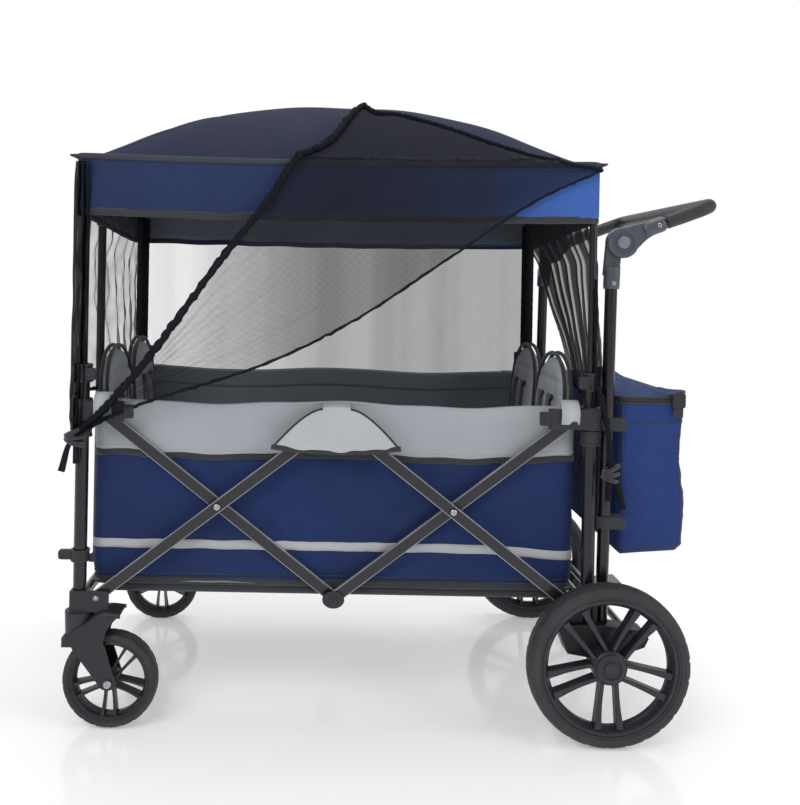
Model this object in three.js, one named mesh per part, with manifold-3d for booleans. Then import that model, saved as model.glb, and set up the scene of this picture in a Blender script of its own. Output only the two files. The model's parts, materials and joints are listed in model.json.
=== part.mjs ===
// A folding quad stroller wagon: four corner posts joined by scissor arms on both sides, a fabric
// basket with four seats, a canopy on poles, insect nets, a rear storage bag, a push handle, a pull
// handle, two swivelling front casters and two large rear wheels.
//
// Millimetres. +X points to the rear (push handle) end, +Y to the wagon's right-hand side for
// someone pushing it, +Z up. The origin is on the floor under the middle of the whole wagon, push
// handle included. The pieces are laid out from the middle of the four corner posts, and the
// finished group is moved over as one.
import * as THREE from "three";
import { mergeVertices } from "three/addons/utils/BufferGeometryUtils.js";
import Module from "manifold-3d";

const wasm = await Module();
wasm.setup();

// Driving dimensions ------------------------------------------------------------------------

const MIDDLE_X = 97.5; // middle of the whole length, behind the middle of the four posts
const POST_X = 480; // corner posts, from the middle of the four
const POST_Y = 280;
const POST_R = 12.5;
const POST_BORE_R = 10.5;
const POST_TOP = 683;
const POLE_R = 7.5; // canopy poles telescope into the posts
const POLE_BOTTOM = 600;
const POLE_TOP = 1062;

const PIVOT_X = 445; // scissor arm pivots beside the posts
const PIVOT_BOTTOM_Z = 246;
const PIVOT_TOP_Z = 590;
const ARM_WIDTH = 22;
const ARM_THICK = 8.3;
const ARM_HOLE_R = 4.4;
const ARM_OPEN_HOLE_R = 5.2; // the linkage's open pivot runs with extra clearance
const PIN_R = 4;
const RIVET_HEAD_R = 8;
const LAYER_Y = [262.5, 271.3, 280.1, 288.9]; // inner faces of the four arm layers, side by side
const BRACKET_OUT_Y = 298;
const BRACKET_IN_Y = 262.5;

const REAR_AXLE_X = 507;
const REAR_WHEEL_R = 150;
const REAR_WHEEL_Y = 325;
const REAR_TYRE_WIDTH = 45;
const AXLE_R = 8;

const CASTER_TRAIL = 62;
const FRONT_WHEEL_R = 90;
const FRONT_TYRE_WIDTH = 40;
const CUP_R = 25;
const CUP_BOTTOM = 174;
const CUP_TOP = 217;

const HANDLE_Y = 272; // push handle tubes and arms
const HANDLE_TUBE_R = 11.5;
const HANDLE_HINGE = [537, 930];
const HANDLE_TUBE_FOOT = [509, 185]; // the tube leans a little to the rear
const HANDLE_TUBE_HEAD = [518, 866];
const HANDLE_REACH = 203; // hinge to the middle of the grip
const HANDLE_SLOPE = THREE.MathUtils.degToRad(21);
const HINGE_DISC_R = 29;

const PULL_X = -516; // pull handle, stowed upright in front of the basket
const PULL_PIVOT_Z = 236;
const PULL_TOP = 1000;

const BASKET_X = [-464, 459];
const BASKET_Y = 258;
const BASKET_Z = [262, 612];
const BASKET_WALL = 4;

const CANOPY_X = [-500, 492];
const CANOPY_Y = 292;
const CANOPY_EDGE_Z = 1075;
const CANOPY_SKIRT_Z = 975;
const CANOPY_CROWN_Z = 1224;
const CANOPY_WALL = 2;

const BAG_X = [541, 675];
const BAG_Y = 255;
const BAG_Z = [331, 626];

const GAP = 0.3; // running gap between neighbouring solids

// Finishes ----------------------------------------------------------------------------------

const finish = (color, roughness, metalness = 0) => ({ color, roughness, metalness });
const BLACK_METAL = finish(0x1d1d21, 0.4, 0.5);
const BLACK_PLASTIC = finish(0x26262a, 0.55);
const GREY_PLASTIC = finish(0x4b4e5a, 0.45);
const RUBBER = finish(0x37373b, 0.85);
const FOAM = finish(0x2c2c30, 0.7);
const BLUE_FABRIC = finish(0x263a6e, 0.8);
const NAVY_FABRIC = finish(0x2c3a69, 0.8);
const GREY_FABRIC = finish(0x5f6167, 0.85);
const DARK_FABRIC = finish(0x303136, 0.9);
const NET = finish(0x15151a, 0.9);

// Geometry helpers --------------------------------------------------------------------------

// A closed geometry as a solid that can be joined and cut.
function solid(geometry) {
  const bare = geometry.index ? geometry.toNonIndexed() : geometry.clone();
  bare.deleteAttribute("normal");
  bare.deleteAttribute("uv");
  const merged = mergeVertices(bare, 1e-3);
  return new wasm.Manifold(
    new wasm.Mesh({
      numProp: 3,
      vertProperties: merged.attributes.position.array,
      triVerts: new Uint32Array(merged.index.array),
    }),
  );
}

const join = (...geometries) => geometries.map(solid).reduce((all, next) => all.add(next));

const cut = (body, ...geometries) =>
  geometries.map(solid).reduce((all, next) => all.subtract(next), body);

function geometryOf(body) {
  const made = body.getMesh();
  const geometry = new THREE.BufferGeometry();
  geometry.setAttribute("position", new THREE.BufferAttribute(made.vertProperties, 3));
  geometry.setIndex(new THREE.BufferAttribute(made.triVerts, 1));
  const flat = geometry.toNonIndexed();
  flat.computeVertexNormals();
  return flat;
}

function piece(parent, name, shape, look) {
  const geometry = shape.isBufferGeometry ? shape : geometryOf(shape);
  const mesh = new THREE.Mesh(geometry, new THREE.MeshStandardMaterial(look));
  mesh.name = name;
  parent.add(mesh);
  return mesh;
}

const block = (x0, x1, y0, y1, z0, z1) =>
  new THREE.BoxGeometry(x1 - x0, y1 - y0, z1 - z0).translate(
    (x0 + x1) / 2,
    (y0 + y1) / 2,
    (z0 + z1) / 2,
  );

const rodZ = (radius, x, y, z0, z1, sides = 20, topRadius = radius) =>
  new THREE.CylinderGeometry(topRadius, radius, z1 - z0, sides)
    .rotateX(Math.PI / 2)
    .translate(x, y, (z0 + z1) / 2);

const rodY = (radius, x, z, y0, y1, sides = 12) =>
  new THREE.CylinderGeometry(radius, radius, y1 - y0, sides).translate(x, (y0 + y1) / 2, z);

// A round bar between two points of one XZ plane.
function rodXZ(radius, y, [x0, z0], [x1, z1], sides = 16) {
  const length = Math.hypot(x1 - x0, z1 - z0);
  return new THREE.CylinderGeometry(radius, radius, length, sides)
    .rotateX(Math.PI / 2)
    .rotateY(Math.atan2(x1 - x0, z1 - z0))
    .translate((x0 + x1) / 2, y, (z0 + z1) / 2);
}

// The point of a handle tube's centre line at height z.
function onHandleTube(z) {
  const share = (z - HANDLE_TUBE_FOOT[1]) / (HANDLE_TUBE_HEAD[1] - HANDLE_TUBE_FOOT[1]);
  return [HANDLE_TUBE_FOOT[0] + share * (HANDLE_TUBE_HEAD[0] - HANDLE_TUBE_FOOT[0]), z];
}

// An outline in the XZ plane, made into a plate from y0 to y1.
const plateXZ = (shape, y0, y1) =>
  new THREE.ExtrudeGeometry(shape, { depth: y1 - y0, bevelEnabled: false, curveSegments: 6 })
    .rotateX(Math.PI / 2)
    .translate(0, y1, 0);

const outline = (points) => new THREE.Shape(points.map(([x, z]) => new THREE.Vector2(x, z)));

// A ring of revolution about a Y axis through the origin, from [radius, y] corners.
const ringY = (corners, sides) =>
  new THREE.LatheGeometry(
    [...corners, corners[0]].map(([r, y]) => new THREE.Vector2(r, y)),
    sides,
  ).rotateY(Math.PI / sides);

// Frame -------------------------------------------------------------------------------------

const wagon = new THREE.Group();

// One side of the wagon, built with +Y outboard; the left side is its mirror image.
const SIDES = [
  ["left", -1],
  ["right", 1],
].map(([label, sign]) => {
  const group = new THREE.Group();
  group.scale.y = sign;
  wagon.add(group);
  return { label, group };
});

function post(group, name, x, bottom) {
  const tube = cut(
    join(rodZ(POST_R, x, POST_Y, bottom, POST_TOP)),
    rodZ(POST_BORE_R, x, POST_Y, bottom - 1, POST_TOP + 1),
  );
  piece(group, name + "_post", tube, BLACK_METAL);
}

function pole(group, name, x) {
  piece(group, name + "_pole", rodZ(POLE_R, x, POST_Y, POLE_BOTTOM, POLE_TOP, 16), BLACK_METAL);
}

// A slider runs on a post and carries the top end of an inner arm on a pin from its outer plate.
function slider(group, name, end, pinInnerY) {
  const plate = [PIVOT_X - 46, POST_X + 8].map((x) => x * end).sort((a, b) => a - b);
  const body = join(
    rodZ(POST_R + 6, POST_X * end, POST_Y, PIVOT_TOP_Z - 15, PIVOT_TOP_Z + 28),
    block(...plate, LAYER_Y[3] + 0.4, BRACKET_OUT_Y, PIVOT_TOP_Z - 13, PIVOT_TOP_Z + 25),
    rodY(PIN_R, PIVOT_X * end, PIVOT_TOP_Z, pinInnerY, LAYER_Y[3] + 1),
  );
  const bore = rodZ(POST_R + 0.5, POST_X * end, POST_Y, PIVOT_TOP_Z - 40, PIVOT_TOP_Z + 40);
  piece(group, name, cut(body, bore), BLACK_PLASTIC);
}

// The front bracket grips the post, covers the arm's bottom pivot and ends in the caster cup.
function frontBracket(group, name) {
  const x = -POST_X;
  const body = join(
    rodZ(CUP_R, x, POST_Y, CUP_BOTTOM, CUP_TOP + 1, 28, CUP_R + 1.5),
    block(x - 15, x + 15, BRACKET_IN_Y, BRACKET_OUT_Y, CUP_TOP, 258),
    block(x - 14, x + 58, LAYER_Y[3] + 0.4, BRACKET_OUT_Y, CUP_TOP + 2, 258),
    rodY(PIN_R, -PIVOT_X, PIVOT_BOTTOM_Z, LAYER_Y[2] - 2, LAYER_Y[3] + 1),
    rodY(5, -PIVOT_X, PIVOT_BOTTOM_Z, BRACKET_OUT_Y - 1, BRACKET_OUT_Y + 2),
  );
  const postSocket = rodZ(POST_R + GAP, x, POST_Y, 205, 300);
  const stemBore = rodZ(8.7, x, POST_Y, CUP_BOTTOM - 5, 200);
  piece(group, name, cut(body, postSocket, stemBore), BLACK_PLASTIC);
}

// The rear bracket holds the post, the handle tube, the axle and the rear arm's bottom pivot.
function rearBracket(group, name) {
  const plate = outline([
    [424, 198],
    [438, 212],
    [500, 212],
    [534, 208],
    [583, 202],
    [592, 188],
    [584, 172],
    [545, 158],
    [525, 132],
    [489, 132],
    [476, 152],
    [440, 158],
  ]);
  const body = join(
    plateXZ(plate, 256, 299),
    block(442, 498, BRACKET_IN_Y - 2, LAYER_Y[3] - 0.4, 205, 256),
    block(426, 443, BRACKET_IN_Y - 2, LAYER_Y[3] - 0.4, 228, 260),
    rodY(PIN_R, PIVOT_X, PIVOT_BOTTOM_Z, LAYER_Y[3] - 1, BRACKET_OUT_Y),
    rodY(RIVET_HEAD_R, PIVOT_X, PIVOT_BOTTOM_Z, LAYER_Y[3] + ARM_THICK + GAP, 300),
  );
  const postSocket = rodZ(POST_R + GAP, POST_X, POST_Y, 192, 300);
  const tubeSocket = rodXZ(
    HANDLE_TUBE_R + GAP,
    HANDLE_Y,
    onHandleTube(182),
    onHandleTube(300),
  );
  const axleBore = rodY(AXLE_R + GAP, REAR_AXLE_X, REAR_WHEEL_R, 200, 400);
  const brakeBore = rodY(7.5, 565, 184, 200, 400);
  piece(group, name, cut(body, postSocket, tubeSocket, axleBore, brakeBore), BLACK_PLASTIC);
}

// Scissor arms ------------------------------------------------------------------------------

// A flat bar between two pivots, with rounded ends, a hole in the middle and one at each end.
function armPlate([x0, z0], [x1, z1], layer, holes) {
  const length = Math.hypot(x1 - x0, z1 - z0);
  const angle = Math.atan2(z1 - z0, x1 - x0);
  const half = ARM_WIDTH / 2;
  const shape = new THREE.Shape();
  shape.absarc(0, 0, half, Math.PI / 2, (3 * Math.PI) / 2);
  shape.absarc(length, 0, half, -Math.PI / 2, Math.PI / 2);
  for (const [share, radius] of holes) {
    shape.holes.push(new THREE.Path().absarc(length * share, 0, radius, 0, 2 * Math.PI, true));
  }
  return plateXZ(shape, 0, ARM_THICK)
    .rotateY(-angle)
    .translate(x0, LAYER_Y[layer], z0);
}

const TOP_PIVOT = [0, PIVOT_TOP_Z];
const BOTTOM_PIVOT = [0, PIVOT_BOTTOM_Z];
const CROSSING = [PIVOT_X / 2, (PIVOT_TOP_Z + PIVOT_BOTTOM_Z) / 2];

// Outer arms run from a post's foot up to the middle, inner arms from a slider down to the middle.
function outerArm(group, name, end, layer) {
  const holes = [
    [0, ARM_HOLE_R],
    [0.5, ARM_HOLE_R],
  ];
  if (end < 0) holes.push([1, ARM_HOLE_R]);
  let body = join(armPlate([PIVOT_X * end, PIVOT_BOTTOM_Z], TOP_PIVOT, layer, holes));
  if (end > 0) {
    const headY = LAYER_Y[2] - 2.6;
    body = body
      .add(solid(rodY(PIN_R, ...TOP_PIVOT, headY, LAYER_Y[3] + 1)))
      .add(solid(rodY(RIVET_HEAD_R, ...TOP_PIVOT, headY, LAYER_Y[2] - GAP)));
  }
  piece(group, name, body, BLACK_METAL);
}

function innerArm(group, name, end, layer, outerLayer) {
  const holes = [[0, ARM_HOLE_R]];
  if (end < 0) holes.push([1, ARM_OPEN_HOLE_R]);
  const [crossX, crossZ] = [CROSSING[0] * end, CROSSING[1]];
  const armFace = LAYER_Y[outerLayer] + ARM_THICK;
  let body = join(
    armPlate([PIVOT_X * end, PIVOT_TOP_Z], BOTTOM_PIVOT, layer, holes),
    rodY(PIN_R, crossX, crossZ, LAYER_Y[layer] + 1, armFace + 1),
    rodY(RIVET_HEAD_R, crossX, crossZ, armFace + GAP, armFace + 2.4),
  );
  if (end > 0) body = body.add(solid(rodY(PIN_R, ...BOTTOM_PIVOT, LAYER_Y[0], LAYER_Y[1] + 1)));
  piece(group, name, body, BLACK_METAL);
}

// Wheels ------------------------------------------------------------------------------------

const SPOKE_PAIRS = 5;

// Tyre corners as [radius, y]: flat tread, rounded shoulders.
const tyreRing = (outer, inner, width, sides) =>
  ringY(
    [
      [outer - 9, -width / 2],
      [outer - 3, -width * 0.4],
      [outer, -width * 0.22],
      [outer, width * 0.22],
      [outer - 3, width * 0.4],
      [outer - 9, width / 2],
      [inner, width * 0.36],
      [inner, -width * 0.36],
    ],
    sides,
  );

// A moulded wheel centre: an outer ring, a hub and pairs of spokes that splay towards the ring.
function rimSolid({ outer, inner, width, hubR, hubWidth, boreR, boreDepth, sides }) {
  const ring = ringY(
    [
      [inner, -width / 2],
      [outer, -width / 2],
      [outer, width / 2],
      [inner, width / 2],
    ],
    sides,
  );
  const parts = [ring, rodY(hubR, 0, 0, -hubWidth / 2, hubWidth / 2, 28)];
  const rootSpread = hubR * 0.42;
  const tipSpread = outer * 0.16;
  for (let pair = 0; pair < SPOKE_PAIRS; pair += 1) {
    const turn = -Math.PI / 2 + (pair * 2 * Math.PI) / SPOKE_PAIRS;
    for (const side of [-1, 1]) {
      const spoke = outline([
        [hubR * 0.5, side * rootSpread - 3],
        [inner + 1, side * tipSpread - 4.5],
        [inner + 1, side * tipSpread + 4.5],
        [hubR * 0.5, side * rootSpread + 3],
      ]);
      parts.push(plateXZ(spoke, -width * 0.28, width * 0.28).rotateY(-turn));
    }
  }
  const boreFrom = -hubWidth / 2 - 1;
  return cut(join(...parts), rodY(boreR, 0, 0, boreFrom, boreFrom + boreDepth));
}

function wheel(group, name, spec) {
  const hub = new THREE.Group();
  hub.position.set(...spec.centre);
  group.add(hub);
  piece(hub, name + "_tyre", tyreRing(spec.radius, spec.seat, spec.tyreWidth, 32), RUBBER);
  piece(hub, name + "_rim", rimSolid(spec.rim), BLACK_PLASTIC);
}

const REAR_WHEEL = {
  centre: [REAR_AXLE_X, REAR_WHEEL_Y, REAR_WHEEL_R],
  radius: REAR_WHEEL_R,
  seat: 124.3,
  tyreWidth: REAR_TYRE_WIDTH,
  rim: {
    outer: 124,
    inner: 110,
    width: 34,
    hubR: 31,
    hubWidth: 42,
    boreR: AXLE_R + 0.5,
    boreDepth: 38,
    sides: 32,
  },
};

const FRONT_WHEEL = {
  centre: [CASTER_TRAIL - POST_X, POST_Y, FRONT_WHEEL_R],
  radius: FRONT_WHEEL_R,
  seat: 72.3,
  tyreWidth: FRONT_TYRE_WIDTH,
  rim: {
    outer: 72,
    inner: 62,
    width: 30,
    hubR: 16,
    hubWidth: 40,
    boreR: 5.5,
    boreDepth: 50,
    sides: 32,
  },
};

// A caster fork: two swept cheeks, a crown and a rear fender over the wheel, a stem and an axle.
function casterFork(group, name) {
  const cheekShape = outline([
    [-77, 85],
    [-66, 62],
    [-18, -1],
    [-12, -9],
    [-2, -13],
    [9, -10],
    [16, -2],
    [-10, 77],
    [-4, 98],
    [6, 113],
    [22, 129],
    [-8, 128],
    [-24, 122],
    [-42, 106],
    [-72, 91],
  ]);
  const cheek = [25.8, 29.6];
  const fenderShape = outline([
    [-30, 112],
    [-24, 121.5],
    [-8, 127.5],
    [22, 128.5],
    [10, 120],
    [-12, 117],
  ]);
  const crownShape = outline([
    [-88, 66],
    [-88, 83.5],
    [-36, 83.5],
    [-36, 66],
  ]);
  const stemX = -CASTER_TRAIL;
  const fork = join(
    plateXZ(cheekShape, ...cheek),
    plateXZ(cheekShape, -cheek[1], -cheek[0]),
    plateXZ(crownShape, -26.5, 26.5),
    plateXZ(fenderShape, -26.5, 26.5),
    rodZ(8, stemX, 0, 80, 105, 16),
    rodY(5, 0, 0, -31, 31, 12),
  );
  const wheelRoom = rodY(FRONT_WHEEL_R + 3, 0, 0, -24, 24, 40);
  const bolt = rodY(5, 0, 0, -31, 31, 12);
  const holder = new THREE.Group();
  holder.position.set(...FRONT_WHEEL.centre);
  group.add(holder);
  piece(holder, name, cut(fork, wheelRoom).add(solid(bolt)), BLACK_PLASTIC);
}

// Push handle -------------------------------------------------------------------------------

const handleDirection = [Math.cos(HANDLE_SLOPE), Math.sin(HANDLE_SLOPE)];
const alongHandle = (distance, offset = 0) => [
  HANDLE_HINGE[0] + handleDirection[0] * distance - handleDirection[1] * offset,
  HANDLE_HINGE[1] + handleDirection[1] * distance + handleDirection[0] * offset,
];

// The fixed half of a handle hinge: a sleeve on the tube and the inner disc.
function handleHinge(group, name) {
  const [hingeX, hingeZ] = HANDLE_HINGE;
  const neck = outline([
    [503.5, 868],
    [508, 925],
    [540, 930],
    [536, 905],
    [532.5, 868],
  ]);
  const body = join(
    rodXZ(14.7, HANDLE_Y, onHandleTube(842), onHandleTube(884)),
    plateXZ(neck, HANDLE_Y - 11, HANDLE_Y - GAP),
    rodY(HINGE_DISC_R, hingeX, hingeZ, HANDLE_Y - 11, HANDLE_Y - GAP, 32),
  );
  const tubeRoom = rodXZ(
    HANDLE_TUBE_R + GAP,
    HANDLE_Y,
    onHandleTube(830),
    onHandleTube(HANDLE_TUBE_HEAD[1] + 1),
  );
  piece(group, name, cut(body, tubeRoom), GREY_PLASTIC);
}

// The moving half: both outer discs and sleeves with the U-shaped grip bar between them.
function pushHandle(parent) {
  const armOffset = 8;
  const corner = 30;
  const [barX, barZ] = alongHandle(HANDLE_REACH - 13, armOffset);
  const [rootX, rootZ] = alongHandle(70, armOffset);
  const [bendX, bendZ] = alongHandle(HANDLE_REACH - 13 - corner, armOffset);
  const at = (x, y, z) => new THREE.Vector3(x, y, z);
  const path = new THREE.CurvePath();
  path.add(new THREE.LineCurve3(at(rootX, -HANDLE_Y, rootZ), at(bendX, -HANDLE_Y, bendZ)));
  path.add(
    new THREE.QuadraticBezierCurve3(
      at(bendX, -HANDLE_Y, bendZ),
      at(barX, -HANDLE_Y, barZ),
      at(barX, -HANDLE_Y + corner, barZ),
    ),
  );
  path.add(
    new THREE.LineCurve3(at(barX, -HANDLE_Y + corner, barZ), at(barX, HANDLE_Y - corner, barZ)),
  );
  path.add(
    new THREE.QuadraticBezierCurve3(
      at(barX, HANDLE_Y - corner, barZ),
      at(barX, HANDLE_Y, barZ),
      at(bendX, HANDLE_Y, bendZ),
    ),
  );
  path.add(new THREE.LineCurve3(at(bendX, HANDLE_Y, bendZ), at(rootX, HANDLE_Y, rootZ)));
  const section = new THREE.Shape().absarc(0, 0, 13, 0, 2 * Math.PI);
  const bar = new THREE.ExtrudeGeometry(section, {
    extrudePath: path,
    steps: 34,
    curveSegments: 4,
    bevelEnabled: false,
  });
  const parts = [bar];
  const neck = outline([
    alongHandle(0, 28),
    alongHandle(0, -14),
    alongHandle(62, -7),
    alongHandle(62, 22),
  ]);
  for (const sign of [-1, 1]) {
    const faces = [HANDLE_Y + GAP, HANDLE_Y + 11].map((y) => y * sign).sort((a, b) => a - b);
    const cap = [HANDLE_Y + 10, HANDLE_Y + 16].map((y) => y * sign).sort((a, b) => a - b);
    parts.push(rodY(HINGE_DISC_R, ...HANDLE_HINGE, ...faces, 32));
    parts.push(rodY(12, ...HANDLE_HINGE, ...cap, 20));
    parts.push(plateXZ(neck, ...faces));
    parts.push(
      rodXZ(14.7, HANDLE_Y * sign, alongHandle(46, armOffset), alongHandle(86, armOffset)),
    );
  }
  piece(parent, "push_handle_bar", join(...parts), FOAM);
}

// Soft goods --------------------------------------------------------------------------------

// An open box: five fabric walls.
function openBox([x0, x1], y, [z0, z1], wall) {
  const outer = join(block(x0, x1, -y, y, z0, z1));
  return cut(outer, block(x0 + wall, x1 - wall, wall - y, y - wall, z0 + wall, z1 + 1));
}

// The canopy's filled outer form: a rectangle drawn up into a dome, with straight valances.
function canopyForm([x0, x1], y, skirt, edge, crown) {
  const across = 14;
  const along = 8;
  const middle = (x0 + x1) / 2;
  const halfLength = (x1 - x0) / 2;
  const at = (i, j) => {
    const u = (2 * i) / across - 1;
    const v = (2 * j) / along - 1;
    const rise = (1 - Math.abs(u) ** 2.4) ** 0.8 * (1 - v * v);
    return [middle + u * halfLength, v * y, edge + (crown - edge) * rise];
  };
  const vertices = [];
  const triangle = (a, b, c) => vertices.push(...a, ...b, ...c);
  const quad = (a, b, c, d) => {
    triangle(a, b, c);
    triangle(a, c, d);
  };
  const down = ([px, py]) => [px, py, skirt];
  for (let i = 0; i < across; i += 1) {
    for (let j = 0; j < along; j += 1) {
      quad(at(i, j), at(i + 1, j), at(i + 1, j + 1), at(i, j + 1));
      quad(down(at(i, j)), down(at(i, j + 1)), down(at(i + 1, j + 1)), down(at(i + 1, j)));
    }
    quad(down(at(i, 0)), down(at(i + 1, 0)), at(i + 1, 0), at(i, 0));
    quad(at(i, along), at(i + 1, along), down(at(i + 1, along)), down(at(i, along)));
  }
  for (let j = 0; j < along; j += 1) {
    quad(at(0, j), at(0, j + 1), down(at(0, j + 1)), down(at(0, j)));
    quad(down(at(across, j)), down(at(across, j + 1)), at(across, j + 1), at(across, j));
  }
  const geometry = new THREE.BufferGeometry();
  geometry.setAttribute("position", new THREE.Float32BufferAttribute(vertices, 3));
  return geometry;
}

function canopy(parent) {
  const outer = canopyForm(CANOPY_X, CANOPY_Y, CANOPY_SKIRT_Z, CANOPY_EDGE_Z, CANOPY_CROWN_Z);
  const inner = canopyForm(
    [CANOPY_X[0] + CANOPY_WALL, CANOPY_X[1] - CANOPY_WALL],
    CANOPY_Y - CANOPY_WALL,
    CANOPY_SKIRT_Z - 5,
    CANOPY_EDGE_Z - CANOPY_WALL,
    CANOPY_CROWN_Z - CANOPY_WALL,
  );
  piece(parent, "canopy", cut(join(outer), inner), NAVY_FABRIC);
}

// Four mesh panels hang from the canopy's edge; the one on the left is drawn up like a curtain.
function nets(parent) {
  const netTop = 1080;
  const netFoot = 626;
  const thick = 2;
  const outside = CANOPY_Y + 2;
  const hangTop = CANOPY_SKIRT_Z - 2;
  const width = POST_Y + 5;
  const rightPanel = block(-485, 485, outside, outside + thick, netFoot, netTop);
  const frontPanel = block(-497, -495, -width, width, netFoot, hangTop);
  const rearPanel = block(493.5, 495.5, -width, width, netFoot, hangTop);
  const curtain = new THREE.Shape();
  curtain.moveTo(-70, netTop);
  curtain.lineTo(-490, netFoot);
  curtain.quadraticCurveTo(-150, 800, 480, netTop - 60);
  curtain.lineTo(480, netTop);
  piece(parent, "net_right", rightPanel, NET);
  piece(parent, "net_left", plateXZ(curtain, -outside - thick, -outside), NET);
  piece(parent, "net_front", frontPanel, NET);
  piece(parent, "net_rear", rearPanel, NET);
}

// A seat back: an upright pad with a round top, leaning on an end wall.
function seatBack(parent, name, x0, x1, y) {
  const half = 116;
  const shape = new THREE.Shape();
  shape.moveTo(-half, 452);
  shape.lineTo(half, 452);
  shape.lineTo(half, 610);
  shape.bezierCurveTo(half, 672, 60, 708, 0, 708);
  shape.bezierCurveTo(-60, 708, -half, 672, -half, 610);
  const pad = new THREE.ExtrudeGeometry(shape, {
    depth: x1 - x0,
    bevelEnabled: false,
    curveSegments: 8,
  });
  pad.rotateX(Math.PI / 2).rotateZ(Math.PI / 2).translate(x0, 0, 0);
  piece(parent, name, pad, GREY_FABRIC).position.y = y;
}

function benchCushion(parent, name, x0, x1) {
  piece(parent, name, block(x0, x1, -245, 245, 402, 445), GREY_FABRIC);
}

function storageBag(parent) {
  const [x0, x1] = BAG_X;
  piece(parent, "storage_bag", openBox(BAG_X, BAG_Y, BAG_Z, BASKET_WALL), BLUE_FABRIC);
  const lid = block(x0, x1, -BAG_Y, BAG_Y, BAG_Z[1] + GAP, BAG_Z[1] + 8);
  piece(parent, "storage_bag_lid", lid, BLUE_FABRIC);
}

// Pull handle, cross members and brake ------------------------------------------------------

function frontCrossbar(parent) {
  const reach = BRACKET_IN_Y - GAP;
  const body = join(
    rodY(10, -POST_X, PULL_PIVOT_Z, -reach, reach, 20),
    block(PULL_X - 12, -POST_X, -20, -13, PULL_PIVOT_Z - 9, PULL_PIVOT_Z + 9),
    block(PULL_X - 12, -POST_X, 13, 20, PULL_PIVOT_Z - 9, PULL_PIVOT_Z + 9),
    rodY(PIN_R, PULL_X, PULL_PIVOT_Z, -20, 20, 12),
  );
  piece(parent, "front_crossbar", body, BLACK_METAL);
}

function pullHandle(parent) {
  const gripZ = PULL_TOP + 8;
  const shaft = join(
    rodY(12, PULL_X, PULL_PIVOT_Z, -12.5, 12.5, 20),
    rodZ(9, PULL_X, 0, PULL_PIVOT_Z + 5, PULL_TOP, 16),
  );
  const pinRoom = rodY(PIN_R + 0.4, PULL_X, PULL_PIVOT_Z, -30, 30, 12);
  piece(parent, "pull_handle_shaft", cut(shaft, pinRoom), BLACK_METAL);
  const grip = join(
    rodY(12.5, PULL_X, gripZ, -60, 60, 20),
    rodZ(12.5, PULL_X, 0, PULL_TOP - 40, gripZ, 20),
  );
  const shaftRoom = rodZ(9 + GAP, PULL_X, 0, PULL_TOP - 60, PULL_TOP + GAP, 16);
  piece(parent, "pull_handle_grip", cut(grip, shaftRoom), BLACK_PLASTIC);
}

function brakePedal(parent) {
  const pad = outline([
    [565, 178],
    [632, 190],
    [634, 198],
    [565, 190],
  ]);
  const body = join(rodY(7, 565, 184, -298, 298, 16), plateXZ(pad, -55, 55));
  piece(parent, "brake_pedal", body, BLACK_PLASTIC);
}

// Assembly ----------------------------------------------------------------------------------

for (const { label, group } of SIDES) {
  post(group, "front_" + label, -POST_X, 207);
  post(group, "rear_" + label, POST_X, 195);
  pole(group, "front_" + label, -POST_X);
  pole(group, "rear_" + label, POST_X);
  slider(group, "front_slider_" + label, -1, LAYER_Y[0]);
  slider(group, "rear_slider_" + label, 1, LAYER_Y[1]);
  frontBracket(group, "front_bracket_" + label);
  rearBracket(group, "rear_bracket_" + label);
  outerArm(group, "front_outer_arm_" + label, -1, 2);
  outerArm(group, "rear_outer_arm_" + label, 1, 3);
  innerArm(group, "front_inner_arm_" + label, -1, 0, 2);
  innerArm(group, "rear_inner_arm_" + label, 1, 1, 3);
  casterFork(group, "caster_fork_" + label);
  wheel(group, "front_" + label, FRONT_WHEEL);
  wheel(group, "rear_" + label, REAR_WHEEL);
  handleHinge(group, "handle_hinge_" + label);
  const tube = rodXZ(HANDLE_TUBE_R, HANDLE_Y, HANDLE_TUBE_FOOT, HANDLE_TUBE_HEAD);
  piece(group, "handle_tube_" + label, tube, BLACK_METAL);
}

frontCrossbar(wagon);
piece(wagon, "rear_crossbar", rodY(10, POST_X, 235, -260, 260, 20), BLACK_METAL);
piece(wagon, "rear_axle", rodY(AXLE_R, REAR_AXLE_X, REAR_WHEEL_R, -339, 339, 20), BLACK_METAL);
pushHandle(wagon);
pullHandle(wagon);
brakePedal(wagon);
piece(wagon, "basket", openBox(BASKET_X, BASKET_Y, BASKET_Z, BASKET_WALL), BLUE_FABRIC);
piece(wagon, "floor_mat", block(-440, 440, -254, 254, 245, 260), DARK_FABRIC);
for (const [label, y] of [
  ["left", -126],
  ["right", 126],
]) {
  seatBack(wagon, "front_seat_back_" + label, -454, -428, y);
  seatBack(wagon, "rear_seat_back_" + label, 425, 451, y);
}
benchCushion(wagon, "front_bench_cushion", -418, -190);
benchCushion(wagon, "rear_bench_cushion", 190, 418);
canopy(wagon);
nets(wagon);
storageBag(wagon);

const part = new THREE.Group();
part.add(wagon);
wagon.position.x = -MIDDLE_X;

export default part;
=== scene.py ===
"""Looks for the folding stroller wagon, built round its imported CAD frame.

Metres: +X to the push handle end, +Y to the wagon's right-hand side, +Z up. The shapes are laid out
from the floor midway between the four corner posts; box() reads the frame into that layout, and
piece() puts each finished shape back into the row frame.
"""
import json
import math

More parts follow.
